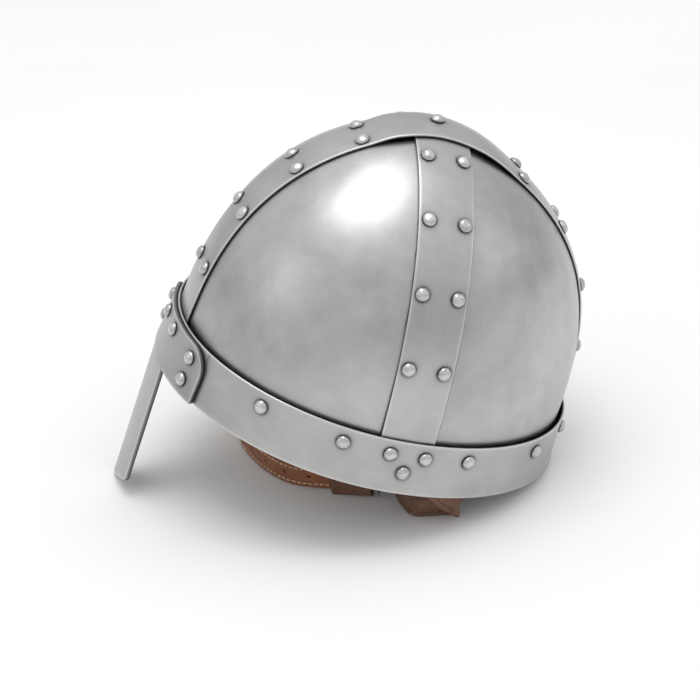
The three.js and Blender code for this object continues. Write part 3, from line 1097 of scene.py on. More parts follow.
@dataclass
class Steelwork:
    """What the steel pieces share."""

    bowl: Bowl = Bowl()
    layers: Layers = Layers()
    rivets: Rivets = field(default_factory=Rivets)
    crest_width: float = 31.2
    cross_width: float = 31.2
    cross_foot: float = 10.4
    cross_lean: float = 0.072
    band_foot: float = 4.0
    crest_rest: float = 7.0
    crest_ease_front: float = 18.0
    crest_ease_rear: float = 34.0
    brow_height: float = 31.2
    edge_round: float = 0.45
    face_depth: float = 0.6
    seam: float = 1.2
    seam_deep_shade: float = 0.75
    inside_shade: float = 0.15

    def shade_behind(self, to_edge: np.ndarray, outer: np.ndarray) -> np.ndarray:
        """Painted shade off the outer face: deep in the seam along an edge, a little on the inner face."""
        return (1.0 - outer) * np.where(to_edge < self.seam, self.seam_deep_shade, self.inside_shade)

    @property
    def crown_x(self) -> float:
        """Where the cross band passes over the crown."""
        return self.cross_x(self.bowl.crown_height)

    def cross_x(self, z: np.ndarray | float) -> np.ndarray | float:
        """Where the cross band's slanted middle plane lies along X, at heights."""
        return self.cross_foot - self.cross_lean * (z - self.band_foot)

    def crest_line(self) -> BandLine:
        """The crest band's middle line, from the front over the crown to the rear."""
        foot = np.array([(self.bowl.rear_reach - self.bowl.front_reach) / 2, 0.0, self.band_foot])
        return BandLine(self.bowl, foot, np.array([-1.0, 0.0, 0.0]), UP, SIDEWAYS)

    def cross_line(self) -> BandLine:
        """The cross band's middle line, from the left over the crown to the right.

        Returns:
            The line, in a plane that leans back by the band's lean.
        """
        foot = np.array([self.cross_foot, 0.0, self.band_foot])
        up = unit(np.array([-self.cross_lean, 0.0, 1.0]))
        crosswise = unit(np.array([1.0, 0.0, self.cross_lean]))
        return BandLine(self.bowl, foot, np.array([0.0, -1.0, 0.0]), up, crosswise)

    def crest_lift(self, x: np.ndarray) -> np.ndarray:
        """How far the crest band rises to pass over the cross band: it rests, then eases down.

        Args:
            x: places along X.

        Returns:
            The rise there: the cross band's height times 1 minus a smooth step.
        """
        away = np.abs(x - self.crown_x) - self.cross_width / 2 - self.crest_rest
        ease = np.where(x < self.crown_x, self.crest_ease_front, self.crest_ease_rear)
        return self.layers.band_face * (1.0 - smooth_step(away / ease))


@dataclass
class Plates:
    """The four plates of the bowl, tucked under the bands."""

    work: Steelwork
    foot: float = 4.0
    lap: float = 9.0
    top_tucks: float = 2.3
    row_crowding: float = 1.25
    columns: int = 110
    rows: int = 120
    seam_deep_shade: Trace = Trace(0.85, 0.35)
    seam_shade: Trace = Trace(0.14, 5.0)
    grain_stretch: float = 1.2

    def outline(self, end: End) -> tuple[np.ndarray, np.ndarray]:
        """A plate's angles and heights: between the crest's plane and the cross band's slanted plane.

        Args:
            end: front or rear.

        Returns:
            Angles, rows from the rim to the crown by columns from the crest, and a column of heights.
        """
        work, bowl = self.work, self.work.bowl
        front = end is End.FRONT
        crest_tuck = work.crest_width / 2 - self.lap
        cross_tuck = work.cross_width / 2 - self.lap
        top_share = max(crest_tuck, cross_tuck) * self.top_tucks / bowl.half_width
        bend = bowl.side_bend
        top = bowl.crown_height * (1.0 - top_share ** (1.0 / bend.reach)) ** (1.0 / bend.rise)
        along = 1.0 - (1.0 - np.linspace(0.0, 1.0, self.rows)) ** self.row_crowding
        z = (self.foot + (top - self.foot) * along)[:, None]
        reach, aside = bowl.reaches(z, np.array(front))
        side = cross_tuck + end.value * work.cross_x(z)
        crest_edge = np.arcsin(crest_tuck / aside)
        cross_edge = np.arccos(np.clip(side / reach, -1.0, 1.0))
        turn = crest_edge + (cross_edge - crest_edge) * np.linspace(0.0, 1.0, self.columns)
        return (turn if front else math.pi - turn), z

    def darkening(self, points: np.ndarray) -> np.ndarray:
        """Painted shade along the bands that lie on a plate, and a little on its inner face.

        Args:
            points: the plate's points, half of them on its outer face and then half on its inner one.

        Returns:
            The trace at each point.
        """
        work = self.work
        x, y, z = points.T
        to_crest = np.abs(y) - work.crest_width / 2
        to_cross = np.abs(x - work.cross_x(z)) - work.cross_width / 2
        to_brow = z - work.brow_height
        corners = [self.seam_deep_shade.at(d) + self.seam_shade.at(d) for d in (to_crest, to_cross, to_brow)]
        outer = np.repeat([1.0, 0.0], len(points) // 2)
        return np.clip(np.max(corners, axis=0) * outer + (1.0 - outer) * work.inside_shade, 0.0, 1.0)

    def plate(self, end: End, hand: Hand) -> Surface:
        """One plate: a sheet on the bowl, tucked under the bands.

        Args:
            end: front or rear.
            hand: left or right.

        Returns:
            The closed plate, with painted shade along the bands that lie on it.
        """
        bowl = self.work.bowl
        turn, z = self.outline(end)
        outer = bowl.point(-hand.value * turn, np.broadcast_to(z, turn.shape))
        surface = sheet(outer, bowl.off(outer, np.full(turn.shape, -self.work.layers.plate)))
        x, y, z = surface.points.T
        # Painted shade along the bands and on the inner face.
        surface.grime = self.darkening(surface.points)
        surface.wear = np.zeros_like(x)
        angle = np.arctan2(y, x)
        surface.grain = np.stack([z * self.grain_stretch, angle * bowl.half_width, angle * 0.0], -1)
        return surface

    def build(self, rest: Resting, finish: bpy.types.Material) -> None:
        """Shows the four plates.

        Args:
            rest: how the steel leans.
            finish: the plates' steel.
        """
        for end in End:
            for hand in Hand:
                name = f"plate_{end.name.lower()}_{hand.name.lower()}"
                show(rest.lay(self.plate(end, hand)), f"{name}_sheet", finish, (name,))


@dataclass(frozen=True)
class Row:
    """A row of rivet pairs along a band: the first one's distance from the crown, and the steps between."""

    first: float
    pitch: float

    def place(self, pair: int) -> float:
        """How far a pair is from the crown."""
        return self.first + pair * self.pitch


@dataclass
class CrestAndCross:
    """The two bands over the bowl, with their rivets."""

    work: Steelwork
    crest_front: Row = Row(43.2, 38.9)
    crest_rear: Row = Row(57.5, 39.7)
    crest_offset: float = 10.0
    crown_forward: float = 1.2
    cross_left: Row = Row(30.2, 40.4)
    cross_right: Row = Row(46.0, 35.1)
    cross_offset: float = 10.0
    pairs: int = 4
    columns: int = 30
    step: float = 1.1
    edge_highlight: Trace = Trace(0.8, 0.35, 0.25)
    brow_shade: Trace = Trace(0.9, 0.5)
    crest_deep_shade: Trace = Trace(0.9, 0.4)
    crest_shade: Trace = Trace(0.12, 5.0)

    def __post_init__(self) -> None:
        """Works out the two lines."""
        self.crest = self.work.crest_line()
        self.cross = self.work.cross_line()

    def crest_places(self) -> dict[str, Seat]:
        """Where the crest rivets sit: the one on the crown, and pairs before and behind it.

        Returns:
            Foot and normal of each, by its node's name.
        """
        crown = self.crest.at_x(self.work.crown_x - self.crown_forward)
        spots = {"rivet_crown": (crown, 0.0)}
        for end, row in ((End.FRONT, self.crest_front), (End.REAR, self.crest_rear)):
            for pair in range(self.pairs):
                distance = crown + end.value * row.place(pair)
                for hand in Hand:
                    name = f"rivet_crest_{end.name.lower()}_{hand.name.lower()}_{pair + 1}"
                    spots[name] = (distance, hand.value * self.crest_offset)
        return {name: self._place(self.crest, *spot, lifted=True) for name, spot in spots.items()}

    def cross_places(self) -> dict[str, Seat]:
        """Where the cross band's rivets sit: pairs down from the crown on both sides.

        Returns:
            Foot and normal of each, by its node's name.
        """
        places = {}
        for hand, row in ((Hand.LEFT, self.cross_left), (Hand.RIGHT, self.cross_right)):
            for pair in range(self.pairs):
                distance = self.cross.length / 2 + hand.value * row.place(pair)
                for end in End:
                    name = f"rivet_cross_{hand.name.lower()}_{end.name.lower()}_{pair + 1}"
                    offset = end.value * self.cross_offset
                    places[name] = self._place(self.cross, distance, offset, lifted=False)
        return places

    def _place(self, line: BandLine, distance: float, offset: float, lifted: bool) -> Seat:
        """A rivet's seat on a band's outer face.

        Args:
            line: the band's middle line.
            distance: along it.
            offset: across it.
            lifted: whether the band passes over the cross band.

        Returns:
            The rivet's foot and normal.
        """
        on_bowl = line.on_bowl(np.array([distance]), np.array([offset]))
        lift = self.work.crest_lift(on_bowl[..., 0]) if lifted else np.zeros(1)
        normal = self.work.bowl.normal(on_bowl)[0]
        return on_bowl[0] + normal * (self.work.layers.band_face + lift[0]), normal

    def band(self, line: BandLine, width: float, lifted: bool, feet: np.ndarray) -> Surface:
        """A band: a flat bar's section carried along its line, bent to lie on the bowl.

        Args:
            line: its middle line.
            width: across it.
            lifted: whether it passes over the cross band.
            feet: places of its rivets, for the painted shade round them.

        Returns:
            The closed band.
        """
        work, layers = self.work, self.work.layers
        low, high = layers.clearance, layers.band_face
        profile = rounded_profile(width, low, high, work.edge_round, self.columns)
        steps = int(line.length / self.step)
        distance = np.linspace(0.0, line.length, steps)[:, None] * np.ones(len(profile))
        across = profile[:, 0] * np.ones((steps, 1))
        height = profile[:, 1] * np.ones((steps, 1))
        on_bowl = line.on_bowl(distance, across)
        lift = work.crest_lift(on_bowl[..., 0]) if lifted else 0.0
        surface = swept(work.bowl.off(on_bowl, height + lift), hoop=False)
        distance, across, height = (capped(rows.ravel(), steps) for rows in (distance, across, height))
        face = (profile[:, 1] > high - work.face_depth).astype(float) * np.ones((steps, 1))
        outer = capped(face.ravel(), steps)
        to_edge = width / 2 - np.abs(across)
        # Painted highlight along the band's edges.
        surface.wear = self.edge_highlight.at(to_edge) * outer
        # Painted shade round the rivets, along the brow band and beside the crest.
        darkening = work.rivets.shade_round(surface.points, feet)
        darkening = np.maximum(darkening, self.brow_shade.at(surface.points[:, 2] - work.brow_height))
        if not lifted:
            to_crest = np.abs(surface.points[:, 1]) - work.crest_width / 2
            darkening = np.maximum(darkening, self.crest_deep_shade.at(to_crest) + self.crest_shade.at(to_crest))
        surface.grime = np.clip(np.maximum(darkening * outer, work.shade_behind(to_edge, outer)), 0.0, 1.0)
        surface.grain = np.stack([distance, across, height], -1)
        return surface

    def build(self, rest: Resting, finish: bpy.types.Material, head_finish: bpy.types.Material) -> None:
        """Shows both bands and their rivets.

        Args:
            rest: how the steel leans.
            finish: the bands' steel.
            head_finish: the rivets' steel.
        """
        crest, cross = self.crest_places(), self.cross_places()
        band = self.band(self.crest, self.work.crest_width, True, feet_of(crest.values()))
        show(rest.lay(band), "crest_band_sheet", finish, ("crest_band",))
        band = self.band(self.cross, self.work.cross_width, False, feet_of(cross.values()))
        show(rest.lay(band), "cross_band_sheet", finish, ("cross_band",))
        for seed, (name, (foot, normal)) in enumerate({**crest, **cross}.items()):
            head = self.work.rivets.seated(seed, foot, normal)
            show(rest.lay(head), f"{name}_head", head_finish, (name,))


@dataclass
class BrowBand:
    """The level hoop round the rim, with its rivets."""

    work: Steelwork
    rivet_height: float = 22.8
    rivet_angles: tuple[float, ...] = (51.1, 76.4, 112.1, 138.6, 162.0)
    anchor_height: float = 12.8
    cross_offset: float = 10.0
    steps: int = 640
    columns: int = 28
    first_seed: int = 200
    edge_highlight: Trace = Trace(0.85, 0.4, 0.25)

    def places(self) -> list[Seat]:
        """Where the hoop's rivets sit: the spaced ones, those at the cross band's foot and the strap's.

        Returns:
            Foot and normal of each.
        """
        work, bowl = self.work, self.work.bowl
        spots = [(math.radians(angle), self.rivet_height) for angle in self.rivet_angles]
        for end in End:
            x = work.cross_foot + end.value * self.cross_offset
            spots.append((bowl.angle_of_x(x), self.rivet_height))
        spots.append((bowl.angle_of_x(work.cross_foot), self.anchor_height))
        places = []
        for hand in Hand:
            for angle, z in spots:
                on_bowl = bowl.point(np.array([-hand.value * angle]), np.array([z]))
                foot = bowl.off_level(on_bowl, np.array([work.layers.brow_face]))[0]
                places.append((foot, bowl.normal(on_bowl)[0]))
        return places

    def hoop(self, feet: np.ndarray, nasal: "NasalPlate") -> Surface:
        """The hoop: a flat bar's section, standing, carried round the rim.

        Args:
            feet: places of its rivets, for the painted shade round them.
            nasal: the nasal plate, for the painted shade round its edge.

        Returns:
            The closed hoop.
        """
        work, bowl = self.work, self.work.bowl
        low, high = work.layers.brow_layer, work.layers.brow_face
        profile = rounded_profile(work.brow_height, low, high, work.edge_round, self.columns)
        turn = np.linspace(0.0, 2 * math.pi, self.steps, endpoint=False)
        angle = turn[:, None] * np.ones(len(profile))
        z = (profile[:, 0] + work.brow_height / 2) * np.ones((self.steps, 1))
        height = profile[:, 1] * np.ones((self.steps, 1))
        surface = swept(bowl.off_level(bowl.point(angle, z), height), hoop=True)
        angle, z, height = angle.ravel(), z.ravel(), height.ravel()
        outer = (height > high - work.face_depth).astype(float)
        to_edge = np.minimum(z, work.brow_height - z)
        # Painted highlight along the hoop's edges, painted shade round its rivets and beside the nasal
        # plate.
        surface.wear = self.edge_highlight.at(to_edge) * outer
        points = surface.points
        darkening = np.maximum(work.rivets.shade_round(points, feet), nasal.shade_beside(points))
        surface.grime = np.clip(np.maximum(darkening * outer, work.shade_behind(to_edge, outer)), 0.0, 1.0)
        surface.grain = np.stack([angle * bowl.half_width, z, height], -1)
        return surface

    def build(
        self,
        rest: Resting,
        nasal: "NasalPlate",
        finish: bpy.types.Material,
        head_finish: bpy.types.Material,
    ) -> None:
        """Shows the hoop and its rivets.

        Args:
            rest: how the steel leans.
            nasal: the nasal plate that lies on the hoop.
            finish: the hoop's steel.
            head_finish: the rivets' steel.
        """
        places = self.places()
        hoop = self.hoop(feet_of(places), nasal)
        show(rest.lay(hoop), "brow_band_hoop", finish, ("brow_band",))
        rivets = self.work.rivets
        heads = [rivets.seated(self.first_seed + number, *seat) for number, seat in enumerate(places)]
        show(rest.lay(gathered(heads)), "brow_band_rivets", head_finish, ())


@dataclass
class NasalPlate:
    """The plate on the brow with the bar that hangs from it."""

    work: Steelwork
    span: float = 94.0
    corner: float = 14.0
    inset: float = 0.8
    shift: float = -3.0
    bar_width: float = 29.0
    bar_drop: float = 84.0
    bar_lean: float = 0.005
    bar_cut: float = 14.0
    bar_round: float = 2.0
    bar_round_slope: float = 0.8
    rivet_side: float = 36.0
    rivet_upper: float = 21.8
    rivet_lower: float = 8.0
    rivet_middle: float = 10.5
    rivet_middle_height: float = 23.8
    bar_rows: int = 76
    plate_rows: int = 30
    bar_columns: int = 14
    edge_columns: int = 4
    shoulder_columns: int = 18
    corner_columns: int = 16
    bevel: float = 0.55
    bevel_steps: int = 3
    bevel_from: float = 50.0
    first_seed: int = 300
    edge_highlight: Trace = Trace(0.75, 0.5, 0.4)
    side_deep_shade: Trace = Trace(0.95, 0.5)
    side_shade: Trace = Trace(0.15, 4.0)
    side_lap: float = 2.0
    plate_back_shade: float = 0.9
    bar_back_shade: float = 0.12

    def angle(self, y: np.ndarray) -> np.ndarray:
        """The angle on the bowl at a distance from the nasal's middle."""
        return -np.arcsin((self.shift + y) / self.work.bowl.half_width)

    def point(self, y: np.ndarray, z: np.ndarray, face: float) -> np.ndarray:
        """A point of the plate: on the brow band above the rim, hanging straight from it below.

        Args:
            y: places across the nasal.
            z: their heights.
            face: how far off the bowl.

        Returns:
            The points.
        """
        on_bowl = self.work.bowl.point(self.angle(y), np.maximum(z, 0.0))
        on_rim = self.work.bowl.off_level(on_bowl, np.full(y.shape, face))
        below = np.minimum(z, 0.0)
        return np.stack([on_rim[..., 0] + self.bar_lean * below, on_rim[..., 1], z], -1)

    def top(self, y: np.ndarray) -> np.ndarray:
        """The plate's upper edge: level, with quarter-round corners.

        Args:
            y: places across the nasal.

        Returns:
            Its heights.
        """
        past = np.maximum(np.abs(y) - (self.span / 2 - self.corner), 0.0)
        drop = self.corner - np.sqrt(np.maximum(self.corner**2 - past**2, 0.0))
        return self.work.brow_height - self.inset - drop

    def tip(self, y: np.ndarray) -> np.ndarray:
        """The bar's lower edge: slanted, with eased corners."""
        past = np.maximum(np.abs(y) - (self.bar_width / 2 - self.bar_round), 0.0)
        return -self.bar_drop - self.bar_cut * y / self.bar_width + past * self.bar_round_slope

    def columns(self) -> np.ndarray:
        """Places across the plate, closer together at the bar's edges and round the corners.

        Returns:
            The places, from one side to the other.
        """
        bar, shoulder = self.bar_width / 2, self.span / 2 - self.corner
        inner = np.linspace(0.0, bar - self.bar_round, self.bar_columns)[1:]
        edge = np.linspace(bar - self.bar_round, bar, self.edge_columns)[1:]
        between = np.linspace(bar, shoulder, self.shoulder_columns)[1:]
        turn = np.linspace(0.0, math.pi / 2, self.corner_columns)[1:]
        right = np.concatenate([inner, edge, between, shoulder + self.corner * np.sin(turn)])
        return np.concatenate([-right[::-1], [0.0], right])

    def shade_beside(self, points: np.ndarray) -> np.ndarray:
        """Painted shade on the brow band beside the plate's edge: a halo of the distance past its outline.

        Args:
            points: the brow band's points.

        Returns:
            The trace at each point.
        """
        y = points[:, 1] - self.shift
        aside = np.abs(y) - self.span / 2
        above = points[:, 2] - self.top(np.clip(y, -self.span / 2, self.span / 2))
        past = np.maximum(aside, np.where(np.abs(y) < self.span / 2, above, -FAR))
        beside = (past > -self.side_lap) & (points[:, 0] < 0)
        return (self.side_deep_shade.at(past) + self.side_shade.at(past)) * beside

    def places(self) -> dict[str, Seat]:
        """Where the nasal's rivets sit: three on each side.

        Returns:
            Foot and normal of each, by its node's name.
        """
        spots = {
            "upper": (self.rivet_side, self.rivet_upper),
            "lower": (self.rivet_side, self.rivet_lower),
            "middle": (self.rivet_middle, self.rivet_middle_height),
        }
        bowl, face = self.work.bowl, np.array([self.work.layers.nasal_face])
        places = {}
        for hand in Hand:
            for row, (aside, z) in spots.items():
                on_bowl = bowl.point(self.angle(np.array([hand.value * aside])), np.array([z]))
                name = f"rivet_nasal_{hand.name.lower()}_{row}"
                places[name] = (bowl.off_level(on_bowl, face)[0], bowl.normal(on_bowl)[0])
        return places

    def to_edge(self, y: np.ndarray, z: np.ndarray) -> np.ndarray:
        """How far places are from the outline: the bar's below the rim, and the plate's above it.

        Args:
            y: places across the nasal.
            z: their heights.

        Returns:
            The distances, measured level or upright.
        """
        bar = np.minimum(self.bar_width / 2 - np.abs(y), z - self.tip(y))
        plate = np.minimum(self.top(y) - z, self.span / 2 - np.abs(y))
        plate = np.where(np.abs(y) > self.bar_width / 2, np.minimum(plate, z), plate)
        return np.where(z < 0, bar, plate)

    def plate(self, feet: np.ndarray) -> Surface:
        """The plate and its bar: a sheet over columns across and rows from the tip up to the upper edge.

        Args:
            feet: places of its rivets, for the painted shade round them.

        Returns:
            The closed sheet.
        """
        layers = self.work.layers
        y = self.columns()
        low = np.linspace(0.0, 1.0, self.bar_rows + 1)[:, None]
        high = np.linspace(0.0, 1.0, self.plate_rows + 1)[1:, None]
        z = np.concatenate([self.tip(y) * (1.0 - low), self.top(y) * high])
        wide = np.broadcast_to(y, z.shape)
        keep = np.ones((z.shape[0] - 1, len(y) - 1), bool)
        keep[: self.bar_rows] = np.abs(y[:-1] + y[1:]) < self.bar_width
        outer, inner = (self.point(wide, z, face) for face in (layers.nasal_face, layers.nasal_layer))
        surface = sheet(outer, inner, keep)
        face = np.repeat([1.0, 0.0], z.size)
        to_edge = np.tile(self.to_edge(wide, z).ravel(), 2)
        # Painted highlight along the plate's edges.
        surface.wear = self.edge_highlight.at(to_edge) * face
        darkening = self.work.rivets.shade_round(surface.points, feet)
        # Painted shade round the rivets and on the inner face.
        behind = np.where(surface.points[:, 2] > 0, self.plate_back_shade, self.bar_back_shade)
        surface.grime = np.clip(np.maximum(darkening * face, (1.0 - face) * behind), 0.0, 1.0)
        flat = np.stack([z, wide, np.zeros_like(z)], -1).reshape(-1, 3)
        surface.grain = np.concatenate([flat, flat])
        return surface

    def build(
        self,
        rest: Resting,
        finish: bpy.types.Material,
        shade_edge_finish: bpy.types.Material,
        head_finish: bpy.types.Material,
    ) -> None:
        """Shows the plate, with bevelled edges and its cut edge in near-black steel as painted shade, and
        its rivets.

        Args:
            rest: how the steel leans.
            finish: the plate's steel.
            shade_edge_finish: the cut edge's steel.
            head_finish: the rivets' steel.
        """
        places = self.places()
        sheet_piece = self.plate(feet_of(places.values()))
        piece = show(rest.lay(sheet_piece), "nasal_plate_sheet", finish, ("nasal_plate",))
        piece.data.materials.append(shade_edge_finish)
        cut = np.zeros(len(piece.data.polygons), np.int32)
        # The walls, the plate's cut edge, take the near-black steel: painted shade.
        cut[-sheet_piece.walls :] = 1
        piece.data.polygons.foreach_set("material_index", cut)
        bevel = piece.modifiers.new("edges", "BEVEL")
        bevel.width = self.bevel * MM
        bevel.segments = self.bevel_steps
        bevel.material = 0
        bevel.limit_method = "ANGLE"
        bevel.angle_limit = math.radians(self.bevel_from)
        bevel.harden_normals = True
        for number, (name, (foot, normal)) in enumerate(places.items()):
            head = self.work.rivets.seated(self.first_seed + number, foot, normal)
            show(rest.lay(head), f"{name}_head", head_finish, (name,))


@dataclass(frozen=True)
class Station:
    """A place of the strap's middle, in half widths of the bowl and widths of the strap, and its lean."""

    along: float
    out: float
    rise: float
    lean_x: float = 0.0
    lean_y: float = 0.0


BILLET_ROUTE = (
    Station(along=-0.16, out=0.92, rise=1.75, lean_x=-0.5),
    Station(along=-0.39, out=0.8, rise=0.8, lean_x=-0.2),
    Station(along=-0.55, out=0.58, rise=0.53),
    Station(along=-0.59, out=0.3, rise=0.53, lean_y=-0.1),
    Station(along=-0.53, out=0.03, rise=0.53, lean_y=-0.15),
    Station(along=-0.45, out=-0.145, rise=0.53, lean_y=-0.2),
    Station(along=-0.375, out=-0.245, rise=0.53, lean_y=-0.2),
    Station(along=-0.29, out=-0.315, rise=0.58, lean_y=-0.2),
    Station(along=-0.175, out=-0.38, rise=0.66, lean_y=-0.15),
    Station(along=-0.07, out=-0.43, rise=0.72, lean_y=-0.15),
    Station(along=0.05, out=-0.49, rise=0.75, lean_y=-0.3),
    Station(along=0.12, out=-0.525, rise=0.79, lean_y=-0.45),
)
BUCKLE_ROUTE = (
    Station(along=0.29, out=-0.935, rise=2.1, lean_x=0.5, lean_y=0.1),
    Station(along=0.42, out=-0.86, rise=1.05, lean_x=0.5),
    Station(along=0.47, out=-0.83, rise=0.7, lean_x=0.4, lean_y=-0.1),
    Station(along=0.43, out=-0.785, rise=0.55, lean_x=0.3, lean_y=-0.2),
    Station(along=0.34, out=-0.775, rise=0.54, lean_x=0.2, lean_y=-0.25),
    Station(along=0.25, out=-0.75, rise=0.54, lean_x=0.2, lean_y=-0.25),
    Station(along=0.2, out=-0.64, rise=0.6, lean_x=0.1, lean_y=-0.3),
    Station(along=0.166, out=-0.508, rise=0.77, lean_y=-0.45),
)


def knot_gap(a: np.ndarray, b: np.ndarray) -> np.ndarray:
    """The step between the knots of two points: the root of their distance."""
    return np.maximum(np.sqrt(np.linalg.norm(b - a, axis=1, keepdims=True)), KNOT_LEAST)


def smooth_curve(points: np.ndarray, where: np.ndarray) -> np.ndarray:
    """A smooth curve through points.

    Between two points it is a cubic, whose slope at each is that of the parabola through the point and its
    two neighbours, with steps between their knots that are the roots of their distances.

    Args:
        points: the points, in order.
        where: places along it, counted in points from the first.

    Returns:
        The curve's points there.
    """
    ends = np.concatenate([[2 * points[0] - points[1]], points, [2 * points[-1] - points[-2]]])
    segment = np.clip(where.astype(int), 0, len(points) - 2)
    share = (where - segment)[:, None]
    p0, p1, p2, p3 = (ends[segment + k] for k in range(4))
    d0, d1, d2 = knot_gap(p0, p1), knot_gap(p1, p2), knot_gap(p2, p3)
    start = ((p1 - p0) / d0 - (p2 - p0) / (d0 + d1) + (p2 - p1) / d1) * d1
    end = ((p2 - p1) / d1 - (p3 - p1) / (d1 + d2) + (p3 - p2) / d2) * d1
    cubic = 2 * p1 - 2 * p2 + start + end
    square = -3 * p1 + 3 * p2 - 2 * start - end
    return ((cubic * share + square) * share + start) * share + p1


@dataclass
class Run:
    """A run of strap: its middle line and upper way, measured by its length."""

    places: np.ndarray
    ups: np.ndarray
    samples: int = 2400

    def __post_init__(self) -> None:
        """Works out the middle line and its length up to each sample."""
        where = np.linspace(0.0, len(self.places) - 1.0, self.samples)
        self.middle = smooth_curve(self.places, where)
        self.upward = smooth_curve(self.ups, where)
        self.lengths = lengths_along(self.middle)

    @property
    def length(self) -> float:
        """From end to end."""
        return float(self.lengths[-1])

    def frames(self, distance: np.ndarray) -> tuple[np.ndarray, ...]:
        """The strap's own axes along the run, square to each other.

        Args:
            distance: from the run's start.

        Returns:
            Place, forward, up and out there.
        """
        place = measured(distance, self.lengths, self.middle)
        slope = np.gradient(self.middle, self.lengths, axis=0)
        forward = unit(measured(distance, self.lengths, slope))
        up = measured(distance, self.lengths, self.upward)
        up = unit(up - forward * np.sum(up * forward, -1, keepdims=True))
        return place, forward, up, np.cross(forward, up)

    def carried(self, distance: np.ndarray, high: np.ndarray, deep: np.ndarray) -> np.ndarray:
        """Points at distances along the run, so high above its middle line and so deep out of its face."""
        place, _, up, out = self.frames(distance)
        return place + up * np.asarray(high)[..., None] + out * np.asarray(deep)[..., None]


@dataclass(frozen=True)
class TongueSizes:
    """The buckle's tongue: its reach in wires before and after the buckle, its radius and round ends."""

    before: float = 0.2
    after: float = 2.0
    radius: float = 0.75
    root: float = -0.9
    point: float = 0.97
    least: float = 0.05
    sections: int = 12


